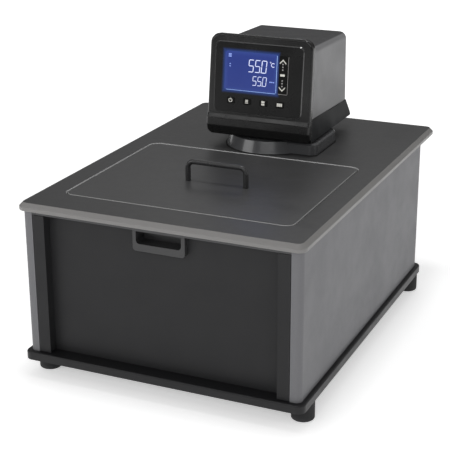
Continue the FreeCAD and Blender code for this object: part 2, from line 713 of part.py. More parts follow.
def drain_lever():
    middle = "(valve_front + valve_back) / 2"
    hub = cylinder("lever_hub", "z", "drain_column", middle, "drain_level + 14.2", "6.5", "4")
    stem = cylinder("lever_stem", "z", "drain_column", middle, "drain_level + 7", "2.5", "8")
    arm = box("lever_arm", ("drain_column", "drain_column + lever_length"),
              (f"{middle} - 5", f"{middle} + 5"), ("drain_level + 14.2", "drain_level + 17.2"))
    keep(fuse("drain_lever", hub, stem, arm), "drain_lever")


# ---- Refrigeration -------------------------------------------------------------------------------

def compressor():
    body = new_body("compressor")
    place = ("compressor_column", "compressor_row")
    pad(body, "XY", "compressor_low", "compressor_high", disc(*place, "compressor_radius"))
    fillet(body, "12", lambda edge: level(edge, size("compressor_high")))
    pad(body, "XY", "compressor_low - 1", "compressor_low + 2",
        rect("compressor_column - 48", "compressor_column + 48",
             "compressor_row - 29", "compressor_row + 29"))
    fillet(body, "6", upright)
    holes = [disc(f"compressor_column + {x}", f"compressor_row + {y}", "2.5")
             for x in (-40, 40) for y in (-21, 21)]
    pocket(body, "XY", "compressor_low - 1", "compressor_low + 2", *holes)
    pad(body, "XY", "compressor_high - 2", "compressor_high + 6",
        disc("compressor_column", "compressor_row", "10"))
    keep(body, "compressor")


def compressor_mounts():
    low = size("tray_bottom") + size("tray_floor")
    high = size("compressor_low") - 1
    bush = Part.makeCylinder(size("pad_radius"), high - low)
    bush = bush.fuse(Part.makeCylinder(2.4, high - low + 3)).fuse(
        Part.makeCylinder(5, 2, Vector(0, 0, high - low + 3)))
    column = size("compressor_column")
    row = size("compressor_row")
    group("compressor_mounts", [moved(bush, column + x, row + y, low) for x in (-40, 40) for y in (-21, 21)])


def condenser():
    """Finned block with tube bends at its ends."""
    left = size("condenser_left")
    right = size("condenser_right")
    front = size("condenser_front")
    depth = size("condenser_back") - front
    low = size("condenser_low")
    height = size("condenser_high") - low
    pitch = 6
    count = int((right - left - 12) // pitch)
    core = Part.makeBox(right - left - 12, depth - 8, height - 4, Vector(left + 6, front + 4, low + 2))
    plates = [Part.makeBox(2, depth, height, Vector(left + 8 + pitch * n, front, low)) for n in range(count)]
    ends = [Part.makeBox(2, depth, height, Vector(x, front, low)) for x in (left + 4, right - 6)]
    bends = []
    for n in range(3):
        middle = low + 10 + 20 * n
        for x, outward in ((left + 4, -1), (right - 4, 1)):
            bend = Part.makeTorus(depth / 4, 3, Vector(x, front + depth / 2, middle), Vector(0, 0, 1))
            half = Part.makeBox(12, depth, 8, Vector(x if outward > 0 else x - 12, front, middle - 4))
            bends.append(bend.common(half))
    feature("condenser", core.fuse(plates + ends + bends).removeSplitter())


def air_filter():
    body = new_body("air_filter")
    pad(body, "XZ", "filter_front", "filter_back",
        rect("condenser_left", "condenser_right", "condenser_low - 2", "condenser_high + 4"))
    windows = [rect(f"condenser_left + {6 + 38.5 * n}", f"condenser_left + {41 + 38.5 * n}",
                    "condenser_low + 4", "condenser_high - 2") for n in range(6)]
    pocket(body, "XZ", "filter_front", "filter_front + 2", *windows)
    keep(body, "air_filter")


def fan():
    x = size("fan_column")
    z = size("fan_level")
    back = size("body_back") - size("sheet")
    front = back - size("fan_depth")
    half = "fan_size / 2"
    body = new_body("fan_frame")
    start = "body_back - sheet - fan_depth"
    end = "body_back - sheet"
    pad(body, "XZ", start, end, rect(f"fan_column - {half}", f"fan_column + {half}",
                                     f"fan_level - {half}", f"fan_level + {half}"))
    fillet(body, "4", lambda edge: edge.YLength > 5)
    pocket(body, "XZ", start, end, disc("fan_column", "fan_level", "fan_bore"))
    pad(body, "XZ", start, f"{start} + 3",
        rect("fan_column - fan_bore - 1", "fan_column + fan_bore + 1", "fan_level - 3", "fan_level + 3"))
    pad(body, "XZ", start, f"{start} + 3",
        rect("fan_column - 3", "fan_column + 3", "fan_level - fan_bore - 1", "fan_level + fan_bore + 1"))
    pad(body, "XZ", start, f"{start} + 3", disc("fan_column", "fan_level", "fan_hub - 1"))
    pad(body, "XZ", f"{start} + 3", f"{start} + 16", disc("fan_column", "fan_level", "2"))
    keep(body, "fan_frame")

    axis = Vector(0, 1, 0)
    centre = Vector(x, front + 5, z)
    hub = Part.makeCylinder(size("fan_hub"), 15, centre, axis)
    rotor = hub
    for n in range(7):
        blade = Part.makeBox(size("fan_tip") - 14, 1.6, 17, Vector(14, -0.8, -8.5))
        blade.rotate(Vector(), Vector(1, 0, 0), 55)
        blade.rotate(Vector(), axis, 360 / 7 * n)
        blade.translate(centre + Vector(0, 7.5, 0))
        rotor = rotor.fuse(blade)
    sleeve = Part.makeCylinder(size("fan_tip"), 15, centre, axis)
    rotor = rotor.common(sleeve).cut(Part.makeCylinder(2.05, 12, centre, axis))
    feature("fan_rotor", rotor)

    outside = size("body_back")
    rings = [Part.makeTorus(radius, 1.1, Vector(x, outside + 1.5, z), axis) for radius in (14, 23, 32, 41)]
    bars = []
    for n in range(4):
        bar = Part.makeBox(92, 1.6, 2.2, Vector(-46, 0, -1.1))
        bar.rotate(Vector(), axis, 45 * n)
        bar.translate(Vector(x, outside, z))
        bars.append(bar)
    feature("fan_guard", bars[0].fuse(bars[1:] + rings))


def refrigerant_circuit():
    """Discharge line, liquid line, dryer with its capillary, and suction line."""
    radius = size("refrigerant_radius")
    column = size("compressor_column")
    row = size("compressor_row")
    top = size("compressor_high")
    outside = size("tank_rear") + size("tank_wall") + size("foam") + 8
    side = -176
    crossing = top + 32
    discharge = [Vector(column + 5, row, top + 6), Vector(column + 5, row, crossing),
                 Vector(side, row, crossing), Vector(side, row, 75),
                 Vector(side, size("condenser_back") + 0.2, 75)]
    feature("discharge_line", sweep(discharge, 7, radius))
    dryer_row = 199
    low = size("dryer_low")
    high = size("dryer_high")
    stack = -62
    foot = Vector(stack, dryer_row, low)
    shell = Part.makeCylinder(size("dryer_radius"), high - low - 16, foot + Vector(0, 0, 8))
    lower = Part.makeCone(radius, size("dryer_radius"), 8, foot)
    upper = Part.makeCone(size("dryer_radius"), radius, 8, foot + Vector(0, 0, high - low - 8))
    liquid = [Vector(stack, dryer_row, low), Vector(stack, dryer_row, 41), Vector(75, dryer_row - 20, 41),
              Vector(75, -244, 41), Vector(63.2, -244, 41)]
    capillary = [Vector(stack, dryer_row, high), Vector(stack, dryer_row, 243), Vector(-75, dryer_row, 243),
                 Vector(-75, dryer_row, 226), Vector(-75, outside, 226)]
    feature("liquid_line", sweep(liquid, 9, radius))
    feature("filter_dryer", shell.fuse([lower, upper, sweep(capillary, 6, radius - 1)]).removeSplitter())
    suction = [Vector(-145, outside, 226), Vector(-145, 185, 226), Vector(-145, 185, 190),
               Vector(column - 5, row, 190), Vector(column - 5, row, top + 6)]
    feature("suction_line", sweep(suction, 5, radius))


def electrics():
    inlet = new_body("power_inlet")
    back = "body_back"
    pad(inlet, "XZ", back, f"{back} + 2.5", rect("-168", "-92", "193", "223"))
    pad(inlet, "XZ", f"{back} - 24", back, rect("-163", "-97", "198", "218"))
    pocket(inlet, "XZ", f"{back} - 16", f"{back} + 2.5", rect("-160", "-134", "199.5", "216.5"))
    pocket(inlet, "XZ", f"{back} - 12", f"{back} + 2.5", rect("-126", "-104", "201", "215"))
    for x in (-153, -147, -141):
        pad(inlet, "XZ", f"{back} - 17", f"{back} - 2", rect(f"{x - 1}", f"{x + 1}", "205", "211"))
    pocket(inlet, "YZ", "-128", "-102", disc(f"{back} - 1", "208", "1.5 + shaft_gap"))
    keep(inlet, "power_inlet")

    rocker = new_body("power_rocker")
    pad(rocker, "YZ", "-125.5", "-104.5", [
        ("-4", "-5.5"), ("4", "-6.4"), ("2.8", "0"), ("4", "6.4"), ("-4", "5.5")])
    pad(rocker, "YZ", "-127.5", "-102.5", disc("0", "0", "1.5"))
    rocker.Placement = Placement(Vector(0, 0, 208), Rotation(Vector(1, 0, 0), -8))
    bind(rocker, "Placement.Base.y", f"{back} - 1")
    keep(rocker, "power_rocker")

    board = new_body("power_board")
    pad(board, "XZ", "190", "191.6", rect("64", "180", "198", "238"))
    blocks = ((70, 90, 204, 222, 20), (96, 116, 204, 222, 20), (124, 158, 204, 230, 14))
    for left, right, low, high, reach in blocks:
        pad(board, "XZ", "191.6", f"191.6 + {reach}", rect(f"{left}", f"{right}", f"{low}", f"{high}"))
    keep(board, "power_board")


# ---- Pedestal ------------------------------------------------------------------------------------

def pedestal():
    body = new_body("pedestal_block")
    pad(body, "XY", "pedestal_low", "pedestal_top",
        rect("block_left", "block_right", "block_front", "block_back"))
    fillet(body, "block_corner", upright)
    chamfer(body, "2.5", lambda edge: level(edge, size("pedestal_top")))
    cone = doc.addObject("Part::Cone", "pedestal_cone")
    bind(cone, "Radius1", "cone_foot")
    bind(cone, "Radius2", "cone_top")
    bind(cone, "Height", "pedestal_top - pedestal_low")
    bind(cone, "Placement.Base.y", "axis_row")
    bind(cone, "Placement.Base.z", "pedestal_low")
    well = cylinder("pedestal_well", "z", "0", "axis_row", "pedestal_low", "plate_radius - 4",
                    "pedestal_top - pedestal_wall - pedestal_low")
    hole = cylinder("pedestal_hole", "z", "0", "axis_row", "pedestal_low", "swivel_bore",
                    "pedestal_top - pedestal_low")
    seat = cylinder("pedestal_plate_seat", "z", "0", "axis_row", "pedestal_low", "plate_radius + 0.2",
                    "deck_top + plate_thickness - pedestal_low")
    keep(cut("pedestal", fuse("pedestal_parts", body, cone), well, hole, seat), "pedestal")


def pedestal_gasket():
    slab = new_body("gasket_slab")
    pad(slab, "XY", "deck_top", "pedestal_low",
        rect("block_left", "block_right + gasket_proud",
             "block_front - gasket_proud", "block_back + gasket_proud"))
    fillet(slab, "block_corner", upright)
    round_end = cylinder("gasket_round", "z", "0", "axis_row", "deck_top", "cone_foot + gasket_proud",
                         "pedestal_low - deck_top")
    hole = cylinder("gasket_hole", "z", "0", "axis_row", "deck_top", "plate_radius + 0.2",
                    "pedestal_low - deck_top")
    keep(cut("pedestal_gasket", fuse("gasket_parts", slab, round_end), hole), "pedestal_gasket")


def swivel_ring():
    flange = cylinder("ring_flange", "z", "0", "axis_row", "pedestal_top", "swivel_flange",
                      "swivel_seat - pedestal_top")
    collar = cylinder("ring_collar", "z", "0", "axis_row", "pedestal_top", "collar_radius",
                      "collar_top - pedestal_top")
    hole = cylinder("ring_hole", "z", "0", "axis_row", "pedestal_top", "swivel_bore",
                    "collar_top - pedestal_top")
    keep(cut("swivel_ring", fuse("ring_parts", flange, collar), hole), "swivel_ring")


# ---- Head ----------------------------------------------------------------------------------------

def bezel_frame():
    """Placement of the tilted face: local Y runs into the head, local Z up the face."""
    foot = Vector(0, size("bezel_front"), size("head_low"))
    return Placement(foot, Rotation(Vector(1, 0, 0), -size("tilt")))


def set_on_bezel(item):
    item.Placement = bezel_frame()
    bind(item, "Placement.Base.y", "bezel_front")
    bind(item, "Placement.Base.z", "head_low")


def tapered(height, sign="1"):
    """Half-width of the bezel at a height up its face."""
    return f"{sign} * (bezel_foot + (bezel_brow - bezel_foot) * ({height}) / bezel_height)"


def head_bezel():
    """Tilted frame with a rolled chin, a shallow recess for the film and an opening behind it."""
    body = new_body("head_bezel")
    tall = size("bezel_height")
    depth = size("bezel_depth")
    pad(body, "YZ", "-bezel_foot - 2", "bezel_foot + 2", [
        ("bezel_depth", "0"), ("4", "0"), ("-chin_bulge", "chin_line - 19"),
        ("-chin_bulge", "chin_line - 7"), ("0", "chin_line"), ("0", "bezel_height"),
        ("bezel_depth", "bezel_height")])
    fillet(body, "chin_round",
           lambda edge: edge.XLength > 150 and edge.ZMax < tall / 2 and edge.YMax < depth - 1)
    pocket(body, "XZ", "-chin_bulge - 2", "bezel_depth", rect("-120", "120", "-20", "200"), [
        (tapered("bezel_toe", "-1"), "bezel_toe"), ("-bezel_foot + bezel_toe", "0"),
        ("bezel_foot - bezel_toe", "0"), (tapered("bezel_toe"), "bezel_toe"),
        (tapered("bezel_height"), "bezel_height"), (tapered("bezel_height", "-1"), "bezel_height")])
    fillet(body, "bezel_corner", lambda edge: near(edge.YLength, depth) and edge.ZMin > tall - 1)
    fillet(body, "bezel_round",
           lambda edge: edge.YMax < depth - 1 and (edge.XLength < 60 or edge.ZMin > tall - 0.1))
    pocket(body, "XZ", "0", "window_depth",
           rect("window_left - 0.5", "window_right + 0.5", "window_low - 0.5", "window_high + 0.5"))
    pocket(body, "XZ", "window_depth", "bezel_depth",
           rect("window_left + window_lip", "window_right - window_lip",
                "window_low + window_lip", "window_high - window_lip"))
    shallow = size("window_depth")
    fillet(body, "window_corner", lambda edge: near(edge.YLength, shallow) and edge.YMax < shallow + 0.01)
    set_on_bezel(body)
    keep(body, "head_bezel")


def key_column(index):
    return f"key_first + {index} * key_pitch"


def display_overlay():
    """Thin dark film with windows for the display, the slider and the keys."""
    body = new_body("display_overlay")
    windows = [rect("display_left - 0.2", "display_right + 0.2", "display_low - 0.2", "display_high + 0.2"),
               rect("slider_left - 0.2", "slider_right + 0.2", "slider_low - 0.2", "slider_high + 0.2")]
    for n in range(len(KEY_NAMES)):
        left = f"{key_column(n)} - key_width / 2 - key_gap"
        right = f"{key_column(n)} + key_width / 2 + key_gap"
        windows.append(rect(left, right, "key_level - key_height / 2 - key_gap",
                            "key_level + key_height / 2 + key_gap"))
    pad(body, "XZ", "window_depth - film", "window_depth",
        rect("window_left", "window_right", "window_low", "window_high"), *windows)
    sides = (size("window_left"), size("window_right"))
    fillet(body, "window_corner", lambda edge: near(edge.YLength, size("film")) and any(
        near(edge.XMin, side) for side in sides))
    keys = size("key_level") + size("key_height")
    fillet(body, "1.5 + key_gap", lambda edge: near(edge.YLength, size("film")) and edge.ZMax < keys
           and edge.ZMin > size("key_level") - size("key_height"))
    front = size("window_depth") - size("film")
    margin = 1.5 * size("window_corner")
    fillet(body, "film_edge", lambda edge: near(edge.YMax, front) and (
        edge.XMin < sides[0] + margin and edge.XMax < sides[0] + margin
        or edge.XMin > sides[1] - margin or edge.XLength > 100))
    set_on_bezel(body)
    keep(body, "display_overlay")


def display_module():
    """Display and slider, each standing off the board behind them."""
    body = new_body("display_module")
    pad(body, "XZ", "-0.8", "8.5", rect("display_left", "display_right", "display_low", "display_high"))
    fillet(body, "3", lambda edge: edge.YLength > 5)
    posts = [disc(x, z, "2.5") for x in ("display_left + 5", "display_right - 5")
             for z in ("display_low + 5", "display_high - 5")]
    pad(body, "XZ", "8.5", "bezel_depth", *posts)
    set_on_bezel(body)
    keep(body, "display_module")

    strip = new_body("slider_strip")
    pad(strip, "XZ", "-0.9", "3", rect("slider_left", "slider_right", "slider_low", "slider_high"))
    fillet(strip, "1", lambda edge: edge.YLength > 2)
    posts = [disc("(slider_left + slider_right) / 2", z, "2.5")
             for z in ("slider_low + 6", "slider_high - 6")]
    pad(strip, "XZ", "3", "bezel_depth", *posts)
    set_on_bezel(strip)
    keep(strip, "slider_strip")


def keys():
    for n, name in enumerate(KEY_NAMES):
        body = new_body(name)
        pad(body, "XZ", "-key_proud", "3", rect(
            f"{key_column(n)} - key_width / 2", f"{key_column(n)} + key_width / 2",
            "key_level - key_height / 2", "key_level + key_height / 2"))
        fillet(body, "1.5", lambda edge: edge.YLength > 2)
        fillet(body, "0.4", lambda edge: edge.YMax < -size("key_proud") + 0.01)
        set_on_bezel(body)
        keep(body, name)


def control_board():
    """Board across the back of the bezel, with a switch behind every key."""
    body = new_body("control_board")
    front = "bezel_depth"
    back = f"{front} + 1.6"
    pad(body, "XZ", front, back, rect("-70", "70", "42", "134"))
    chips = ((-50, -20, 92, 118, 4), (0, 22, 100, 116, 3), (30, 58, 96, 124, 9))
    for left, right, low, high, reach in chips:
        pad(body, "XZ", back, f"{back} + {reach}", rect(f"{left}", f"{right}", f"{low}", f"{high}"))
    holes = [disc(x, z, "1.6") for x in ("-67", "67") for z in ("60", "126")]
    pocket(body, "XZ", front, back, *holes)
    for n in range(len(KEY_NAMES)):
        column = key_column(n)
        pad(body, "XZ", f"{front} - 5", front,
            rect(f"{column} - 3", f"{column} + 3", "key_level - 3", "key_level + 3"))
        pad(body, "XZ", "3 + key_travel + 0.4", f"{front} - 5", disc(column, "key_level", "1.8"))
    set_on_bezel(body)
    keep(body, "control_board")


def seam(height):
    """Row of the bezel's back plane at a height above the floor."""
    return f"(bezel_front + bezel_depth / cos(tilt) + (({height}) - head_low) * tan(tilt))"


def shaped_block(label, low, high, foot, brow, profile):
    """Prism with tapered sides, trimmed to a side profile."""
    body = new_body(label)
    pad(body, "XZ", "40", "260", [
        (f"-1 * ({foot})", low), (foot, low), (brow, high), (f"-1 * ({brow})", high)])
    pocket(body, "YZ", "-100", "100", rect("30", "270", "270", "450"), profile)
    return body


def head_cover():
    """Inverted U shell with a sloping top."""
    outer = shaped_block("cover_outer", "parting_back - 10", "housing_top_front + 10",
                         "housing_foot", "housing_brow", [
                             (seam("parting_front"), "parting_front"), ("housing_back_low", "parting_back"),
                             ("housing_back_high", "housing_top_back"),
                             (seam("housing_top_front"), "housing_top_front")])
    back = size("housing_back_high")
    roof = size("housing_top_back")
    fillet(outer, "housing_round", lambda edge: edge.YLength > 60 and edge.ZMin > roof - 6)
    fillet(outer, "rear_round", lambda edge: edge.ZLength > 60 and edge.YMin > back - 5 and edge.XLength < 6)
    inner = shaped_block("cover_inner", "parting_back - 10", "housing_top_front + 10",
                         "housing_foot - shell", "housing_brow - shell", [
                             ("40", "parting_back - 8"), ("housing_back_low - shell", "parting_back - 8"),
                             ("housing_back_high - shell", "housing_top_back - shell"),
                             ("40", "housing_top_back - shell + roof_pitch * (housing_back_high - 40)")])
    fillet(inner, "housing_round - shell", lambda edge: edge.YLength > 60 and edge.ZMin > roof - 8)
    fillet(inner, "rear_round - shell",
           lambda edge: edge.ZLength > 60 and edge.YMin > back - 8 and edge.XLength < 6)
    keep(cut("head_cover", outer, inner), "head_cover")


def screw_places():
    return [(side * 66, row) for side in (-1, 1) for row in (84, 205)]


def head_chassis():
    """Flared lower shell with the floor that turns on the swivel ring."""
    outer = shaped_block("chassis_outer", "head_low - 0.01", "parting_front + 1",
                         "skirt_foot", "housing_foot", [
                             (seam("head_low"), "head_low"), ("skirt_back", "head_low"),
                             ("skirt_back", "head_low + skirt_lip"),
                             ("housing_back_low", "parting_back - 0.2"),
                             (seam("parting_front"), "parting_front - 0.2")])
    fillet(outer, "rear_round", lambda edge: edge.YMin > 200 and edge.YMax < 248 and edge.ZLength > 3
           and edge.XLength < 5)
    inner = shaped_block("chassis_inner", "chassis_low + shell", "parting_front + 5",
                         "skirt_foot - shell", "housing_foot - shell", [
                             (seam("head_low") + " - 15", "chassis_low + shell"),
                             ("skirt_back - 2 * shell", "chassis_low + shell"),
                             ("housing_back_low - shell", "parting_back - 0.6 * shell"),
                             ("housing_back_low - shell", "parting_front + 3"),
                             (seam("head_low") + " - 15", "parting_front + 3")])
    under = shaped_block("chassis_under", "head_low - 5", "chassis_low", "skirt_foot - shell",
                         "skirt_foot - shell", [
                             (seam("head_low") + " + shell", "head_low - 4"),
                             ("skirt_back - shell", "head_low - 4"),
                             ("skirt_back - shell", "chassis_low"),
                             (seam("head_low") + " + shell", "chassis_low")])
    hole = cylinder("chassis_hole", "z", "0", "axis_row", "head_low", "collar_radius + shaft_gap", "10")
    holes = [cylinder("chassis_screw_hole", "z", str(x), str(y), "chassis_low - 1", "1.6", "shell + 2")
             for x, y in screw_places()]
    keep(cut("head_chassis", outer, inner, under, hole, *holes), "head_chassis")


def head_screws():
    """Screws up through the chassis floor into the cover."""
    screw = Part.makeCylinder(3.2, 1.8).fuse(Part.makeCylinder(1.5, 12))
    group("head_screws", [moved(screw, x, y, size("chassis_low") - 1.8) for x, y in screw_places()])


# ---- Build ---------------------------------------------------------------------------------------

for build in (base_tray, rubber_feet, front_rail, rear_panel, deck, cabinet_screws, front_panel, pull_cup,
              tank, tank_insulation, lid_plate, lid_liner, lid_gasket, lid_handle, mounting_plate,
              pump_housing, pump_column, pump_rotor, pump_motor, water_lines, evaporator_coil, heater_coil,
              temperature_probe, level_sensor, drain, drain_lever, compressor, compressor_mounts, condenser,
              air_filter, fan, refrigerant_circuit, electrics, pedestal, pedestal_gasket, swivel_ring,
              head_bezel, display_overlay, display_module, keys, control_board, head_cover, head_chassis,
              head_screws):
    build()
side_panel("side_panel_left", -1)
side_panel("side_panel_right", 1)
doc.recompute()

broken = [item.Label for item in doc.Objects if {"Invalid", "Error"} & set(item.State)]
broken += [item.Label for item in nodes if item.Shape.isNull() or not item.Shape.isValid()]
if broken:
    raise RuntimeError("failed: " + ", ".join(broken))
os.makedirs("parts", exist_ok=True)
for item in nodes:
    item.Shape.exportStep(f"parts/{item.Label}.step")
print(len(nodes), "nodes")
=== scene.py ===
"""Looks of a refrigerated circulating water bath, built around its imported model.

Metres, +Z up, front towards -Y, origin on the floor under the middle of the deck.
"""
import math

import bmesh
import bpy
from mathutils import Euler, Matrix, Vector


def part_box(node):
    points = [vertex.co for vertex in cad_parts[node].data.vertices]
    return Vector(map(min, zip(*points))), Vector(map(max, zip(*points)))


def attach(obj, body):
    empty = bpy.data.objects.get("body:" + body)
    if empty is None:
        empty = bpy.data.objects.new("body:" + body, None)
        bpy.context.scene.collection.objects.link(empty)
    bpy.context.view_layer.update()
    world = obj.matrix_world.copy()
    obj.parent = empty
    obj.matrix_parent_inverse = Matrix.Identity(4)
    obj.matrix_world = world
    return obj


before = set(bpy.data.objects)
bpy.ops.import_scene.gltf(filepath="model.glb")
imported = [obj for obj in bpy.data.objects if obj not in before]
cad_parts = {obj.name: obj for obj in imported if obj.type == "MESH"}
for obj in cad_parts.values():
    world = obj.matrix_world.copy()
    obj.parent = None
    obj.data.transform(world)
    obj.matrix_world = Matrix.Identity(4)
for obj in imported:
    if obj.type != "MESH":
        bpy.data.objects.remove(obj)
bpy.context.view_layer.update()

MM = 0.001
WHITE = (1, 1, 1, 1)

# ---- Camera --------------------------------------------------------------------------------------

CAMERA_PLACE = (0.7111, -1.6477, 0.8116)
CAMERA_AZIMUTH = 24.287
CAMERA_ELEVATION = 19.996
CAMERA_ROLL = -0.2976
LENS = 100.84
SENSOR = 36.0
CLIP_NEAR = 0.01
CLIP_FAR = 100


def add_camera():
    data = bpy.data.cameras.new("camera")
    data.lens = LENS
    data.sensor_width = SENSOR
    data.clip_start = CLIP_NEAR
    data.clip_end = CLIP_FAR
    camera = bpy.data.objects.new("camera", data)
    a = math.radians(CAMERA_AZIMUTH)
    e = math.radians(CAMERA_ELEVATION)
    back = Vector((math.sin(a) * math.cos(e), -math.cos(a) * math.cos(e), math.sin(e)))
    roll = Euler((0, 0, math.radians(CAMERA_ROLL))).to_quaternion()
    camera.rotation_mode = "QUATERNION"
    camera.rotation_quaternion = (-back).to_track_quat("-Z", "Y") @ roll
    camera.location = CAMERA_PLACE
    bpy.context.scene.collection.objects.link(camera)
    bpy.context.scene.camera = camera


# ---- Material nodes ------------------------------------------------------------------------------

def new_material(name):
    material = bpy.data.materials.new(name)
    material.use_nodes = True
    return material, material.node_tree, material.node_tree.nodes["Principled BSDF"]


def node(tree, kind, inputs=None, **settings):
    """Add a node; an input given as a socket is linked, anything else is its value."""
    made = tree.nodes.new(kind)
    for name, value in settings.items():
        setattr(made, name, value)
    for key, value in (inputs or {}).items():
        if isinstance(value, bpy.types.NodeSocket):
            tree.links.new(value, made.inputs[key])
        else:
            made.inputs[key].default_value = value
    return made


def math_node(tree, operation, first, second=0.0):
    return node(tree, "ShaderNodeMath", {0: first, 1: second}, operation=operation).outputs[0]


def ramp(tree, value, low, high, to_low=0.0, to_high=1.0):
    """Smoothly clamped map of a value."""
    made = node(tree, "ShaderNodeMapRange",
                {"Value": value, "From Min": low, "From Max": high,
                 "To Min": to_low, "To Max": to_high},
                interpolation_type="SMOOTHSTEP")
    return made.outputs["Result"]


def position(tree):
    return node(tree, "ShaderNodeTexCoord").outputs["Object"]


def noise(tree, place, scale, detail=3.0, roughness=0.5, stretch=None):
    if stretch:
        place = node(tree, "ShaderNodeMapping", {"Vector": place, "Scale": stretch}).outputs[0]
    made = node(tree, "ShaderNodeTexNoise",
                {"Vector": place, "Scale": scale, "Detail": detail, "Roughness": roughness})
    return made.outputs["Fac"]


def shade(colour, factor):
    return tuple(min(1.0, c * factor) for c in colour[:3]) + (1.0,)


def blend_colour(tree, factor, first, second):
    made = node(tree, "ShaderNodeMix", {"Factor": factor}, data_type="RGBA")
    for key, value in ((6, first), (7, second)):
        if isinstance(value, bpy.types.NodeSocket):
            tree.links.new(value, made.inputs[key])
        else:
            made.inputs[key].default_value = value
    return made.outputs[2]


def bump(tree, shader, layers):
    """Stack bumps given as (height, distance in metres, strength)."""
    normal = None
    for height, distance, strength in layers:
        inputs = {"Height": height, "Distance": distance, "Strength": strength}
        if normal is not None:
            inputs["Normal"] = normal
        normal = node(tree, "ShaderNodeBump", inputs).outputs[0]
    tree.links.new(normal, shader.inputs["Normal"])


def beyond(tree, value, low, high):
    """Distance outside an interval, below 0 inside it."""
    away = math_node(tree, "ABSOLUTE", math_node(tree, "SUBTRACT", value, (low + high) / 2))
    return math_node(tree, "SUBTRACT", away, (high - low) / 2)


def edge_mask(tree, place, corners, width):
    """1 along the edges of a box, 0 away from them."""
    axes = node(tree, "ShaderNodeSeparateXYZ", {"Vector": place}).outputs
    gaps = [math_node(tree, "ABSOLUTE", beyond(tree, axis, low, high))
            for axis, low, high in zip(axes, *corners)]
    total = math_node(tree, "ADD", math_node(tree, "ADD", gaps[0], gaps[1]), gaps[2])
    least = math_node(tree, "MINIMUM", math_node(tree, "MINIMUM", gaps[0], gaps[1]), gaps[2])
    most = math_node(tree, "MAXIMUM", math_node(tree, "MAXIMUM", gaps[0], gaps[1]), gaps[2])
    median = math_node(tree, "SUBTRACT", math_node(tree, "SUBTRACT", total, least), most)
    return ramp(tree, median, width, 0.0)


def rim_mask(tree, place, corners, width):
    """1 near the outline of a box seen from above, 0 away from it."""
    low, high = corners
    axes = node(tree, "ShaderNodeSeparateXYZ", {"Vector": place}).outputs
    outside = math_node(tree, "MAXIMUM", beyond(tree, axes[0], low[0], high[0]),
                        beyond(tree, axes[1], low[1], high[1]))
    return ramp(tree, math_node(tree, "ABSOLUTE", outside), width, width * 0.6)


EDGE_WIDTH = 2.2 * MM
RIM_WIDTH = 4 * MM
SIDE_BLEND = 0.06
CLOUD_SCALE = 9.0
SMEAR_SCALE = 22.0
WEAR_SCALE = 60.0
WAVE_SCALE = 6.0


def moulded(name, colour, rough=0.45, grain=0.6, depth=0.03, mottle=0.06, edge=None,
            edge_gain=1.5, specular=0.5, coat=0.0, side_sheen=None, side_level=0.9, rim=None,
            rim_glint=None, wave=0.12):
    """Moulded plastic or powder coat: fine grain, faint cloudiness, handled edges.

    The grain, its depth and the wave are in mm. A side sheen colour, a painted highlight, shows where
    the surface turns away from straight up, and a rim glint colour, a painted glint, where it turns
    away near the outline of the box given as rim. The edges of the box given as edge are worn
    lighter.
    """
    material, tree, shader = new_material(name)
    place = position(tree)
    cloud = noise(tree, place, CLOUD_SCALE, 4.0)
    fine = noise(tree, place, 1.0 / (grain * MM), 2.0, 0.6)
    tone = blend_colour(tree, cloud, shade(colour, 1 - mottle), shade(colour, 1 + mottle))
    speck = blend_colour(tree, ramp(tree, fine, 0.35, 0.75, 0.0, 0.25), tone, shade(colour, 1.35))
    # Painted highlight: where the surface turns away from straight up it takes the paler side colour.
    if side_sheen:
        normal = node(tree, "ShaderNodeTexCoord").outputs["Normal"]
        upward = node(tree, "ShaderNodeSeparateXYZ", {"Vector": normal}).outputs[2]
        turned = ramp(tree, upward, side_level + SIDE_BLEND, side_level - SIDE_BLEND)
        speck = blend_colour(tree, turned, speck, shade(side_sheen, 1.0))
        # Painted glint: near the outline of the rim box, turned faces take the paler rim colour.
        if rim:
            wear_and_glint = math_node(tree, "MULTIPLY", turned, rim_mask(tree, place, rim, RIM_WIDTH))
            speck = blend_colour(tree, wear_and_glint, speck, shade(rim_glint, 1.0))
    if edge:
        patches = ramp(tree, noise(tree, place, WEAR_SCALE, 4.0, 0.65), 0.35, 0.75, 0.15, 0.9)
        wear_and_glint = math_node(tree, "MULTIPLY", edge_mask(tree, place, edge, EDGE_WIDTH), patches)
        speck = blend_colour(tree, wear_and_glint, speck, shade(colour, edge_gain))
    tree.links.new(speck, shader.inputs["Base Color"])
    smear = noise(tree, place, SMEAR_SCALE, 5.0, 0.6)
    tree.links.new(ramp(tree, smear, 0.25, 0.8, rough - 0.06, rough + 0.08),
                   shader.inputs["Roughness"])
    bump(tree, shader, [(fine, depth * MM, 0.6),
                        (noise(tree, place, WAVE_SCALE, 1.0), wave * MM, 0.25)])
    shader.inputs["Specular IOR Level"].default_value = specular
    shader.inputs["Coat Weight"].default_value = coat
    return material


def brushed(name, colour, rough=0.3, stretch=(1.0, 60.0, 60.0)):
    """Metal with fine drawn lines along the axis that is stretched least."""
    material, tree, shader = new_material(name)
    place = position(tree)
    lines = noise(tree, place, 40.0, 5.0, 0.7, stretch)
    cloud = noise(tree, place, 12.0, 4.0)
    tone = blend_colour(tree, lines, shade(colour, 0.86), shade(colour, 1.1))
    tone = blend_colour(tree, ramp(tree, cloud, 0.45, 0.75, 0.0, 0.36), tone, shade(colour, 0.72))
    tree.links.new(tone, shader.inputs["Base Color"])
    tree.links.new(ramp(tree, lines, 0.2, 0.8, rough - 0.07, rough + 0.12),
                   shader.inputs["Roughness"])
    bump(tree, shader, [(lines, 0.02 * MM, 0.35)])
    shader.inputs["Metallic"].default_value = 1.0
    shader.inputs["Anisotropic"].default_value = 0.5
    return material


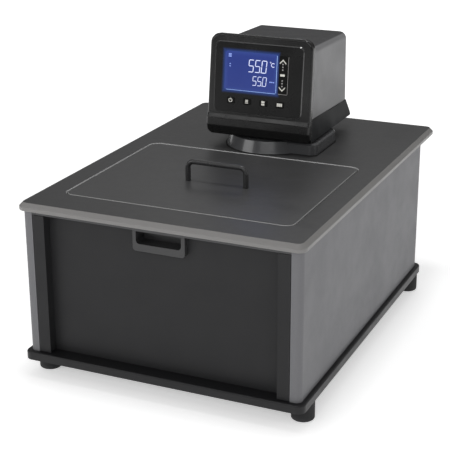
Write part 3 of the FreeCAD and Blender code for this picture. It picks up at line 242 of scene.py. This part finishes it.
def drawn_metal(name, colour, rough=0.25, tarnish=(0.2, 0.1, 0.06)):
    """Tube, wire and turned parts: bright with soft tarnish patches."""
    material, tree, shader = new_material(name)
    place = position(tree)
    patch = noise(tree, place, 35.0, 5.0, 0.65)
    fine = noise(tree, place, 900.0, 2.0)
    tone = blend_colour(tree, ramp(tree, patch, 0.5, 0.8, 0.0, 0.6), shade(colour, 1.0),
                        shade(tarnish, 1.0))
    tree.links.new(tone, shader.inputs["Base Color"])
    tree.links.new(ramp(tree, patch, 0.3, 0.8, rough, rough + 0.22), shader.inputs["Roughness"])
    bump(tree, shader, [(fine, 0.02 * MM, 0.4)])
    shader.inputs["Metallic"].default_value = 1.0
    return material


FLOOR_SCUFF = 9 * MM


def rubbery(name, colour, rough=0.72):
    """Matt rubber with dust, scuffed where it is close to the floor."""
    material, tree, shader = new_material(name)
    place = position(tree)
    dust = noise(tree, place, 45.0, 6.0, 0.7)
    pores = noise(tree, place, 1400.0, 2.0)
    height = node(tree, "ShaderNodeSeparateXYZ", {"Vector": place}).outputs[2]
    scuff = math_node(tree, "MULTIPLY", ramp(tree, height, FLOOR_SCUFF, 0.0),
                      ramp(tree, dust, 0.35, 0.7))
    tone = blend_colour(tree, ramp(tree, dust, 0.4, 0.75, 0.0, 0.35), shade(colour, 1.0),
                        shade(colour, 1.7))
    tone = blend_colour(tree, scuff, tone, shade(colour, 2.2))
    tree.links.new(tone, shader.inputs["Base Color"])
    shader.inputs["Roughness"].default_value = rough
    shader.inputs["Specular IOR Level"].default_value = 0.3
    bump(tree, shader, [(pores, 0.05 * MM, 0.5)])
    return material


def foam(name, colour):
    """Closed-cell foam."""
    material, tree, shader = new_material(name)
    place = position(tree)
    cells = node(tree, "ShaderNodeTexVoronoi",
                 {"Vector": place, "Scale": 420.0}).outputs["Distance"]
    cloud = noise(tree, place, 30.0, 4.0)
    tone = blend_colour(tree, cloud, shade(colour, 0.75), shade(colour, 1.4))
    tree.links.new(tone, shader.inputs["Base Color"])
    shader.inputs["Roughness"].default_value = 0.9
    bump(tree, shader, [(cells, 0.5 * MM, 0.7)])
    return material


def woven(name, colour, pitch=1.2):
    """Filter mesh: two crossed sets of strands, their pitch in mm."""
    material, tree, shader = new_material(name)
    place = position(tree)
    axes = node(tree, "ShaderNodeSeparateXYZ", {"Vector": place}).outputs
    turns = 2 * math.pi / (pitch * MM)
    across, up = (math_node(tree, "SINE", math_node(tree, "MULTIPLY", axes[axis], turns))
                  for axis in (0, 2))
    strands = math_node(tree, "MAXIMUM", across, up)
    dust = noise(tree, place, 25.0, 5.0, 0.6)
    tone = blend_colour(tree, ramp(tree, strands, 0.1, 0.9), shade(colour, 0.25),
                        shade(colour, 1.6))
    tone = blend_colour(tree, ramp(tree, dust, 0.5, 0.8, 0.0, 0.4), tone, (0.24, 0.23, 0.21, 1.0))
    tree.links.new(tone, shader.inputs["Base Color"])
    shader.inputs["Roughness"].default_value = 0.8
    bump(tree, shader, [(strands, 0.4 * MM, 0.8)])
    return material


def circuit_board(name, colour):
    """Board with paler lines between square patches."""
    material, tree, shader = new_material(name)
    place = position(tree)
    bricks = node(tree, "ShaderNodeTexVoronoi", {"Vector": place, "Scale": 260.0},
                  distance="CHEBYCHEV", feature="DISTANCE_TO_EDGE").outputs["Distance"]
    tone = blend_colour(tree, ramp(tree, bricks, 0.05, 0.14), shade(colour, 2.2),
                        shade(colour, 1.0))
    tree.links.new(tone, shader.inputs["Base Color"])
    shader.inputs["Roughness"].default_value = 0.35
    bump(tree, shader, [(bricks, 0.05 * MM, 0.5)])
    return material


def glowing(name, colour, strength):
    """Mark with a slightly uneven glow: lit display marks, and print given a painted glow."""
    material, tree, shader = new_material(name)
    uneven = noise(tree, position(tree), 120.0, 2.0)
    tone = blend_colour(tree, uneven, shade(colour, 0.9), shade(colour, 1.0))
    tree.links.new(tone, shader.inputs["Emission Color"])
    tree.links.new(tone, shader.inputs["Base Color"])
    shader.inputs["Emission Strength"].default_value = strength
    shader.inputs["Roughness"].default_value = 0.4
    return material


# ---- The tilted face of the head -----------------------------------------------------------------

FACE_TILT = math.radians(6)
FACE_FOOT = (0, 46.5 * MM, 282 * MM)
FACE = Matrix.Translation(FACE_FOOT) @ Matrix.Rotation(-FACE_TILT, 4, "X")

# Rectangles on the face in mm: left, right, low, high.
DISPLAY = (-56.5, 28.2, 70.0, 129.0)
SLIDER = (31.0, 46.2, 70.3, 128.0)

# The middles of the keys in mm.
KEY_LEVEL = 54.8
KEY_COLUMNS = (-44.6, -18.0, 8.6, 35.2)

# Where each surface is from the face in mm, below 0 in front of it, and how far marks stand up.
DISPLAY_FACE = -0.8
SLIDER_FACE = -0.9
KEY_FACE = -1.5
MARK_RISE = 0.12
KEY_MARK_RISE = 0.1


def face_axes(tree, place):
    """Coordinates on the tilted face: across, into the head, up the face."""
    shift = node(tree, "ShaderNodeVectorMath", {0: place, 1: FACE_FOOT},
                 operation="SUBTRACT").outputs[0]
    flat = node(tree, "ShaderNodeMapping",
                {"Vector": shift, "Rotation": (FACE_TILT, 0, 0)}).outputs[0]
    return node(tree, "ShaderNodeSeparateXYZ", {"Vector": flat}).outputs


def rectangle_distance(tree, place, rectangle):
    """Distance in metres outside a rectangle on the tilted face, below 0 inside."""
    axes = face_axes(tree, place)
    left, right, low, high = (value * MM for value in rectangle)
    return math_node(tree, "MAXIMUM", beyond(tree, axes[0], left, right),
                     beyond(tree, axes[2], low, high))


FILM_DARK = (0.004, 0.004, 0.004, 1)
FILM_PALE = (0.007, 0.007, 0.007, 1)
# Colour and reach of the blue halo, a glow painted onto the film as emission.
HALO_BLUE = (0.016, 0.045, 0.20, 1)
HALO_REACH = 5.5 * MM


def display_film(name):
    """Black film with a blue halo round the lit display: a painted glow, emission on the film itself.
    """
    material, tree, shader = new_material(name)
    place = position(tree)
    away = rectangle_distance(tree, place, DISPLAY)
    halo = ramp(tree, away, HALO_REACH, -1 * MM)
    haze = noise(tree, place, 30.0, 4.0)
    tone = blend_colour(tree, haze, FILM_DARK, FILM_PALE)
    tree.links.new(tone, shader.inputs["Base Color"])
    glow = blend_colour(tree, halo, (0, 0, 0, 1), HALO_BLUE)
    tree.links.new(glow, shader.inputs["Emission Color"])
    shader.inputs["Emission Strength"].default_value = 1.0
    tree.links.new(ramp(tree, haze, 0.3, 0.8, 0.2, 0.32), shader.inputs["Roughness"])
    shader.inputs["Specular IOR Level"].default_value = 0.25
    return material


DISPLAY_DEEP = (0.020, 0.042, 0.235, 1)
DISPLAY_CLOUD = (0.030, 0.058, 0.30, 1)
DISPLAY_RIM = (0.075, 0.14, 0.45, 1)
DISPLAY_UNLIT = (0.01, 0.02, 0.12, 1)


def backlit_display(name):
    """Lit blue panel, deeper in the middle, with a faint cell pattern."""
    material, tree, shader = new_material(name)
    place = position(tree)
    away = rectangle_distance(tree, place, DISPLAY)
    rim = ramp(tree, away, -7 * MM, 0.0)
    cloud = noise(tree, place, 16.0, 2.0)
    deep = blend_colour(tree, cloud, DISPLAY_DEEP, DISPLAY_CLOUD)
    lit = blend_colour(tree, math_node(tree, "MULTIPLY", rim, 0.35), deep, DISPLAY_RIM)
    tree.links.new(lit, shader.inputs["Emission Color"])
    shader.inputs["Emission Strength"].default_value = 0.53
    shader.inputs["Base Color"].default_value = DISPLAY_UNLIT
    shader.inputs["Roughness"].default_value = 0.18
    shader.inputs["Specular IOR Level"].default_value = 0.3
    cells = noise(tree, place, 2500.0, 1.0)
    bump(tree, shader, [(cells, 0.01 * MM, 0.3)])
    return material


# ---- Mesh helpers --------------------------------------------------------------------------------

def finish_piece(name, mesh, body, material):
    """Turn a bmesh into a piece that rides on a body."""
    bmesh.ops.recalc_face_normals(mesh, faces=mesh.faces)
    data = bpy.data.meshes.new(name)
    mesh.to_mesh(data)
    mesh.free()
    piece = bpy.data.objects.new(name, data)
    bpy.context.scene.collection.objects.link(piece)
    data.materials.append(material)
    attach(piece, body)


def on_face(across, into, up):
    """Point in metres from millimetres on the tilted face."""
    return FACE @ (Vector((across, into, up)) * MM)


def face_prisms(name, outlines, front, back, body, slot_name, material):
    """Thin raised shapes on the tilted face, from outlines in mm."""
    mesh = bmesh.new()
    for outline in outlines:
        pairs = zip(outline, outline[1:] + outline[:1])
        area = sum(a[0] * b[1] - b[0] * a[1] for a, b in pairs)
        ordered = outline if area > 0 else outline[::-1]
        near = [mesh.verts.new(on_face(x, front, z)) for x, z in ordered]
        far = [mesh.verts.new(on_face(x, back, z)) for x, z in ordered]
        mesh.faces.new(near)
        mesh.faces.new(far[::-1])
        count = len(ordered)
        for n in range(count):
            after = (n + 1) % count
            mesh.faces.new((near[after], near[n], far[n], far[after]))
    finish_piece(name, mesh, body, material)


def bead(name, outline, section, body, material):
    """Closed moulding along an outline on the tilted face.

    The section is a list of (outwards, proud of the face) in mm.
    """
    mesh = bmesh.new()
    rings = []
    for n, (x, z) in enumerate(outline):
        before, after = outline[n - 1], outline[(n + 1) % len(outline)]
        along = Vector((after[0] - before[0], after[1] - before[1])).normalized()
        rings.append([mesh.verts.new(on_face(x + along[1] * out, -rise, z - along[0] * out))
                      for out, rise in section])
    steps = len(section)
    for ring, after in zip(rings, rings[1:] + rings[:1]):
        for k in range(steps):
            following = (k + 1) % steps
            mesh.faces.new((ring[k], ring[following], after[following], after[k]))
    finish_piece(name, mesh, body, material)


def on_circle(x, z, radius, degrees):
    angle = math.radians(degrees)
    return x + radius * math.cos(angle), z + radius * math.sin(angle)


def circle(x, z, radius, count=24):
    return [on_circle(x, z, radius, 360 * n / count) for n in range(count)]


def rounded(left, right, low, high, radius, steps=5):
    """Rectangle with rounded corners."""
    corners = ((right - radius, high - radius, 0), (left + radius, high - radius, 90),
               (left + radius, low + radius, 180), (right - radius, low + radius, 270))
    return [on_circle(x, z, radius, start + 90 * n / steps)
            for x, z, start in corners for n in range(steps + 1)]


def arc_band(x, z, radius, width, start, end, count=20):
    """Part of a ring, as a closed outline."""
    angles = [start + (end - start) * n / count for n in range(count + 1)]
    outer = [on_circle(x, z, radius + width / 2, angle) for angle in angles]
    inner = [on_circle(x, z, radius - width / 2, angle) for angle in angles]
    return outer + inner[::-1]


# Bars of the seven-segment figures in use, and how far the figures lean.
SEGMENTS = {"0": "abcdef", "5": "afgcd"}
SLANT = 0.08


def digit(figure, left, low, width, height, thick):
    """Seven-segment figure as pointed bars."""
    gap = thick * 0.14
    point = thick / 2
    right = left + width
    top = low + height
    middle = low + height / 2

    def across(z):
        return [(left + point + gap, z), (left + thick + gap, z + point),
                (right - thick - gap, z + point), (right - point - gap, z),
                (right - thick - gap, z - point), (left + thick + gap, z - point)]

    def upright(x, bottom, ceiling):
        return [(x, bottom + gap), (x + point, bottom + point + gap),
                (x + point, ceiling - point - gap), (x, ceiling - gap),
                (x - point, ceiling - point - gap), (x - point, bottom + point + gap)]

    shapes = {
        "a": across(top - point),
        "b": upright(right - point, middle, top - point),
        "c": upright(right - point, low + point, middle),
        "d": across(low + point),
        "e": upright(left + point, low + point, middle),
        "f": upright(left + point, middle, top - point),
        "g": across(middle),
    }
    return [[(x + (z - low) * SLANT, z) for x, z in shapes[key]] for key in SEGMENTS[figure]]


def reading(left, low, width, height, thick, pitch):
    """The figures 55.0."""
    outlines = []
    for n, figure in enumerate("550"):
        outlines += digit(figure, left + n * pitch, low, width, height, thick)
    dot = left + 2 * pitch - (pitch - width) / 2
    half = thick * 0.45
    outlines.append(rounded(dot - half, dot + half, low, low + 2 * half, thick * 0.2, 2))
    return outlines


def display_marks(white, pale, bright):
    """Two readings with a degree C, small plain signs, and bright lines at two edges."""
    where = (DISPLAY_FACE - MARK_RISE, DISPLAY_FACE, "head", "display_blue")
    figures = reading(left=-18.9, low=99.4, width=8.7, height=19.2, thick=1.25, pitch=10.4)
    figures += reading(left=-11.4, low=79.8, width=6.6, height=14.2, thick=1.0, pitch=8.0)
    figures.append(arc_band(21.4, 112.8, 2.8, 1.0, 45, 315))
    figures += [arc_band(17.3, 116.6, 0.8, 0.55, start, start + 180, 8) for start in (0, 180)]
    face_prisms("display_figures", figures, *where, white)
    small = [rounded(-51.2, -46.2, 123.9 - 1.9 * n, 125.1 - 1.9 * n, 0.3, 2) for n in range(3)]
    small += [circle(-48.2, z, 0.95, 16) for z in (109.6, 106.2)]
    small += [rounded(16.6 + 2.8 * n, 18.7 + 2.8 * n, 86.4, 88.2, 0.4, 2) for n in range(3)]
    face_prisms("display_signs", small, *where, pale)
    left, right, low, high = DISPLAY
    edges = [rounded(right - 1.15, right - 0.25, low + 1.5, high - 1.5, 0.2, 2),
             rounded(left + 3, right - 1.4, low + 0.3, low + 1.0, 0.15, 2)]
    face_prisms("display_rim", edges, *where, bright)


def slider_marks(white, grey):
    """Up and down arrows with a bar between them, dots, and a line round two sides."""
    where = (SLIDER_FACE - MARK_RISE, SLIDER_FACE, "head", "film_black")
    left, right, low, high = SLIDER
    middle, half = 37.0, 5.0
    marks = []
    for tip, foot in ((122.9, 117.6), (74.9, 80.2)):
        drop = foot - tip
        marks.append([(middle, tip), (middle + half, foot), (middle + half, foot + drop * 0.38),
                      (middle, tip + drop * 0.44), (middle - half, foot + drop * 0.38),
                      (middle - half, foot)])
    marks.append(rounded(middle - 3.6, middle + 3.6, 97.6, 101.0, 0.6, 3))
    face_prisms("slider_marks", marks, *where, white)
    dots = [circle(middle, z, 1.1, 18) for z in (115.6, 111.4, 107.2, 91.2, 87.0, 82.8)]
    dots += [rounded(left + 0.4, right - 0.6, low + 0.15, low + 0.75, 0.2, 2),
             rounded(right - 0.7, right - 0.25, low + 1, high - 1, 0.15, 2)]
    face_prisms("slider_dots", dots, *where, grey)


def key_marks(white):
    """A plain sign on each key: a ring and stroke, three lines, two blocks, three blocks."""
    z = KEY_LEVEL
    power, menu, enter, pump = (column - 0.6 for column in KEY_COLUMNS)
    icons = {
        "key_power": [arc_band(power, z, 2.6, 1.1, 115, 425),
                      rounded(power - 0.5, power + 0.5, z + 0.6, z + 3.6, 0.25, 2)],
        "key_menu": [rounded(menu - 2.3, menu + 2.3, z - 2.8 + 2.05 * n, z - 1.35 + 2.05 * n,
                             0.3, 2) for n in range(3)],
        "key_enter": [rounded(enter - 2.6, enter + 2.6, z - 3.3, z - 0.35, 0.4, 2),
                      rounded(enter - 2.6, enter + 2.6, z + 0.35, z + 3.3, 0.4, 2)],
        "key_pump": [rounded(pump - 4.2 + 2.9 * n, pump - 1.6 + 2.9 * n, z - 2.4, z + 2.4,
                             0.3, 2) for n in range(3)],
    }
    for key, outlines in icons.items():
        face_prisms(key + "_mark", outlines, KEY_FACE - KEY_MARK_RISE, KEY_FACE,
                    key + "_body", "key_black", white)


# ---- Stage and light -----------------------------------------------------------------------------

FLOOR_HALF = 14

# The floor glows a little under the object, and more further out: (distance in m, strength).
FLOOR_NEAR = (0.6, 0.47)
FLOOR_FAR = (1.8, 0.8)

# The sky as a source of light, and as the camera sees it: strengths, and heights between 0 and 1.
HORIZON = (0.05, 0.075)
ZENITH = (0.85, 0.46)
BACKDROP = 1.05

# Name, place, target, width, height and power in W.
LIGHTS = (
    ("high_softbox", (0.02, -0.2, 2.6), (0.02, -0.15, 0.25), 0.45, 0.45, 13.5),
    ("right_softbox", (3.0, 0.3, 1.3), (0.1, 0, 0.15), 1.6, 1.4, 10),
    ("front_softbox", (-1.9, -2.0, 1.0), (0, -0.2, 0.15), 1.4, 1.0, 11),
    ("low_softbox", (0.35, -2.05, 1.25), (0, 0, 0.28), 1.5, 0.4, 7),
    ("strip_softbox", (-0.7, -1.55, 1.75), (0, 0, 0.33), 1.3, 0.22, 2.8),
    ("rear_softbox", (-0.1, 2.2, 2.1), (0, 0, 0.25), 2.6, 0.9, 7),
)


def add_floor():
    data = bpy.data.meshes.new("floor")
    mesh = bmesh.new()
    bmesh.ops.create_grid(mesh, x_segments=1, y_segments=1, size=FLOOR_HALF)
    mesh.to_mesh(data)
    mesh.free()
    floor = bpy.data.objects.new("floor", data)
    bpy.context.scene.collection.objects.link(floor)
    material, tree, shader = new_material("floor_paper")
    place = position(tree)
    tone = blend_colour(tree, noise(tree, place, 3.0), (0.88, 0.88, 0.88, 1), (0.9, 0.9, 0.9, 1))
    tree.links.new(tone, shader.inputs["Base Color"])
    shader.inputs["Roughness"].default_value = 0.9
    shader.inputs["Specular IOR Level"].default_value = 0.1
    shader.inputs["Emission Color"].default_value = WHITE
    across = node(tree, "ShaderNodeVectorMath", {0: place}, operation="LENGTH").outputs["Value"]
    glow = ramp(tree, across, FLOOR_NEAR[0], FLOOR_FAR[0], FLOOR_NEAR[1], FLOOR_FAR[1])
    tree.links.new(glow, shader.inputs["Emission Strength"])
    data.materials.append(material)


def add_light(name, place, target, width, height, power):
    data = bpy.data.lights.new(name, "AREA")
    data.shape = "RECTANGLE"
    data.size = width
    data.size_y = height
    data.energy = power
    light = bpy.data.objects.new(name, data)
    light.location = place
    light.rotation_mode = "QUATERNION"
    light.rotation_quaternion = (Vector(target) - Vector(place)).to_track_quat("-Z", "Y")
    light.visible_camera = False
    bpy.context.scene.collection.objects.link(light)


def add_world():
    """White to the eye; as a source of light, grey overhead and darker at the horizon."""
    world = bpy.data.worlds.new("studio")
    world.use_nodes = True
    tree = world.node_tree
    tree.nodes.clear()
    place = node(tree, "ShaderNodeTexCoord").outputs["Generated"]
    height = node(tree, "ShaderNodeSeparateXYZ", {"Vector": place}).outputs[2]
    strength = ramp(tree, height, HORIZON[0], ZENITH[0], HORIZON[1], ZENITH[1])
    seen = node(tree, "ShaderNodeLightPath").outputs["Is Camera Ray"]
    source, paper = (
        node(tree, "ShaderNodeBackground", {"Color": WHITE, "Strength": level}).outputs[0]
        for level in (strength, BACKDROP))
    mixed = node(tree, "ShaderNodeMixShader", {0: seen, 1: source, 2: paper}).outputs[0]
    output = node(tree, "ShaderNodeOutputWorld")
    tree.links.new(mixed, output.inputs["Surface"])
    bpy.context.scene.world = world


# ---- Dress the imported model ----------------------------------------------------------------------

def assign(names, material):
    for name in names:
        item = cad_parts[name]
        item.data.materials.clear()
        item.data.materials.append(material)


def dress_cabinet():
    top = dict(rough=0.38, grain=0.7, depth=0.025, mottle=0.04, wave=0.04)
    # The paler colours where the deck and lid turn away from straight up are painted highlights, and
    # the paler band at the lid opening's edge is a painted glint.
    assign(["deck"], moulded("deck_moulding", (0.042, 0.042, 0.0425), **top,
                             side_sheen=(0.20, 0.195, 0.19), side_level=0.9,
                             rim=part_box("lid_plate"), rim_glint=(0.34, 0.34, 0.34)))
    assign(["lid_plate"], moulded("lid_skin", (0.052, 0.052, 0.0525), **top,
                                  side_sheen=(0.34, 0.34, 0.335), side_level=0.85))
    assign(["lid_liner"], moulded("lid_core", (0.32, 0.32, 0.32), rough=0.5, grain=0.9,
                                  mottle=0.04))
    assign(["lid_handle"], moulded("handle_paint", (0.026, 0.026, 0.027), rough=0.3, grain=0.7,
                                   depth=0.02, coat=0.15))
    assign(["side_panel_left", "side_panel_right", "rear_panel"],
           moulded("side_paint", (0.158, 0.158, 0.166), rough=0.5, grain=0.9, depth=0.04,
                   mottle=0.015, specular=0.25, wave=0.008))
    assign(["front_rail"], moulded("rail_paint", (0.05, 0.05, 0.052), rough=0.5, grain=0.9,
                                   depth=0.04, mottle=0.03))
    assign(["front_panel"], moulded("front_paint", (0.0215, 0.0215, 0.0225), rough=0.5,
                                    grain=0.9, depth=0.04, mottle=0.03, wave=0.03, specular=0.2,
                                    edge=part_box("front_panel"), edge_gain=1.6))
    assign(["pull_cup"], moulded("cup_plastic", (0.033, 0.033, 0.034), rough=0.42, grain=0.8,
                                 mottle=0.05, edge=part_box("pull_cup"), edge_gain=1.7))
    assign(["base_tray"], moulded("tray_plastic", (0.011, 0.011, 0.012), rough=0.40, grain=0.8,
                                  mottle=0.08, specular=0.3, edge=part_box("base_tray"),
                                  edge_gain=2.5))
    assign(["rubber_feet"], rubbery("foot_rubber", (0.022, 0.022, 0.023)))
    assign(["lid_gasket", "pedestal_gasket", "compressor_mounts"],
           rubbery("seal", (0.012, 0.012, 0.012)))
    assign(["power_inlet", "power_rocker", "fan_frame", "fan_rotor"],
           moulded("black_plastic", (0.016, 0.016, 0.017), rough=0.4, grain=0.7, mottle=0.08))
    assign(["fan_guard"], drawn_metal("guard_wire", (0.6, 0.6, 0.6), rough=0.15,
                                      tarnish=(0.3, 0.3, 0.3)))
    assign(["cabinet_screws", "head_screws"],
           drawn_metal("screw", (0.42, 0.42, 0.41), rough=0.3, tarnish=(0.2, 0.2, 0.18)))


def dress_inside():
    assign(["tank"], brushed("tank_steel", (0.52, 0.52, 0.53), rough=0.28))
    assign(["tank_insulation"], foam("foam", (0.03, 0.03, 0.03)))
    assign(["mounting_plate", "swivel_ring"],
           brushed("plate_steel", (0.55, 0.55, 0.56), rough=0.26))
    assign(["pump_housing", "pump_column", "pump_rotor", "supply_line", "return_line",
            "evaporator_coil", "heater_coil", "temperature_probe", "float_stem", "drain_pipe"],
           drawn_metal("wet_steel", (0.62, 0.62, 0.63), rough=0.2, tarnish=(0.36, 0.34, 0.31)))
    assign(["level_float"], moulded("white_plastic", (0.7, 0.7, 0.67), rough=0.4, grain=0.8,
                                    depth=0.02))
    assign(["pump_motor"], moulded("motor_paint", (0.10, 0.10, 0.11), grain=1.0, depth=0.05))
    assign(["compressor"], moulded("compressor_paint", (0.014, 0.014, 0.014), rough=0.25,
                                   grain=1.2, depth=0.04, mottle=0.1, coat=0.3))
    assign(["condenser"], brushed("fins", (0.66, 0.66, 0.67), rough=0.35,
                                  stretch=(60.0, 1.0, 1.0)))
    assign(["discharge_line", "liquid_line", "suction_line", "filter_dryer"],
           drawn_metal("copper", (0.72, 0.33, 0.18)))
    assign(["drain_valve"], drawn_metal("valve_brass", (0.62, 0.46, 0.2), rough=0.28,
                                        tarnish=(0.25, 0.17, 0.07)))
    assign(["drain_lever"], moulded("lever_red", (0.42, 0.02, 0.015), rough=0.4, grain=0.8))
    assign(["air_filter"], woven("filter_mesh", (0.05, 0.05, 0.05)))
    assign(["power_board", "control_board"], circuit_board("board_green", (0.012, 0.09, 0.035)))


# The bead round the film: its outline on the face, its corner radius, and its section.
BEAD_OUTLINE = (-72.1, 68.6, 36.4, 142.1)
BEAD_CORNER = 7.1
BEAD_SECTION = ((1.2, -0.2), (1.2, 0.05), (0.1, 1.12), (-0.2, 1.12), (-0.2, -0.2))


def dress_head():
    assign(["pedestal"], moulded("pedestal_plastic", (0.062, 0.063, 0.066), rough=0.22,
                                 grain=0.7, mottle=0.05, edge=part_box("pedestal"),
                                 edge_gain=1.8, coat=0.4))
    assign(["head_chassis"], moulded("skirt_plastic", (0.005, 0.006, 0.007), rough=0.5,
                                     grain=0.7, mottle=0.05, specular=0.12,
                                     edge=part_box("head_chassis"), edge_gain=1.7))
    # The cover's sides are a paler grey than its top: painted light on one housing that is lit more
    # from the side.
    assign(["head_cover"], moulded("head_grey", (0.035, 0.035, 0.037), grain=0.8, depth=0.04,
                                   mottle=0.04, specular=0.3, side_sheen=(0.185, 0.185, 0.19),
                                   side_level=0.8))
    assign(["head_bezel"], moulded("bezel_black", (0.007, 0.007, 0.007), rough=0.24, grain=0.7,
                                   depth=0.015, mottle=0.05, specular=0.42, wave=0.04))
    # The bead is a paler, glossier black than the bezel: its raised section catches real light, and
    # its paler colour is a painted highlight along the film's edge.
    bead("film_bead", rounded(*BEAD_OUTLINE, BEAD_CORNER, 10), BEAD_SECTION, "head",
         moulded("bead_black_painted_sheen", (0.035, 0.035, 0.035), rough=0.2, grain=0.7,
                                depth=0.01, mottle=0.05, specular=1.0, wave=0.02))
    assign(["display_overlay"], display_film("display_film"))
    assign(["display_module"], backlit_display("display_blue"))
    assign(["slider_strip"], moulded("slider_black", (0.002, 0.002, 0.002), rough=0.3,
                                     grain=0.8, depth=0.005, specular=0.15))
    assign(["key_power", "key_menu", "key_enter", "key_pump"],
           moulded("key_black", (0.002, 0.002, 0.002), rough=0.3, grain=0.8, depth=0.01,
                   specular=0.15))
    display_marks(white=glowing("lit_white", (0.66, 0.71, 0.95), 0.5),
                  pale=glowing("lit_pale", (0.24, 0.34, 0.78), 0.5),
                  bright=glowing("lit_bright", (0.26, 0.40, 0.74), 0.42))
    # The printed marks on the slider and keys glow too: painted light, as print is no lamp.
    glowing_print_white = glowing("glowing_print_white", (0.66, 0.65, 0.6), 0.21)
    slider_marks(glowing_print_white, glowing("glowing_print_grey", (0.35, 0.34, 0.34), 0.2))
    key_marks(glowing_print_white)


# ---- Build ---------------------------------------------------------------------------------------

add_camera()
add_world()
add_floor()
for softbox in LIGHTS:
    add_light(*softbox)
dress_cabinet()
dress_inside()
dress_head()

view_settings = bpy.context.scene.view_settings
view_settings.view_transform = "Standard"
view_settings.look = "None"
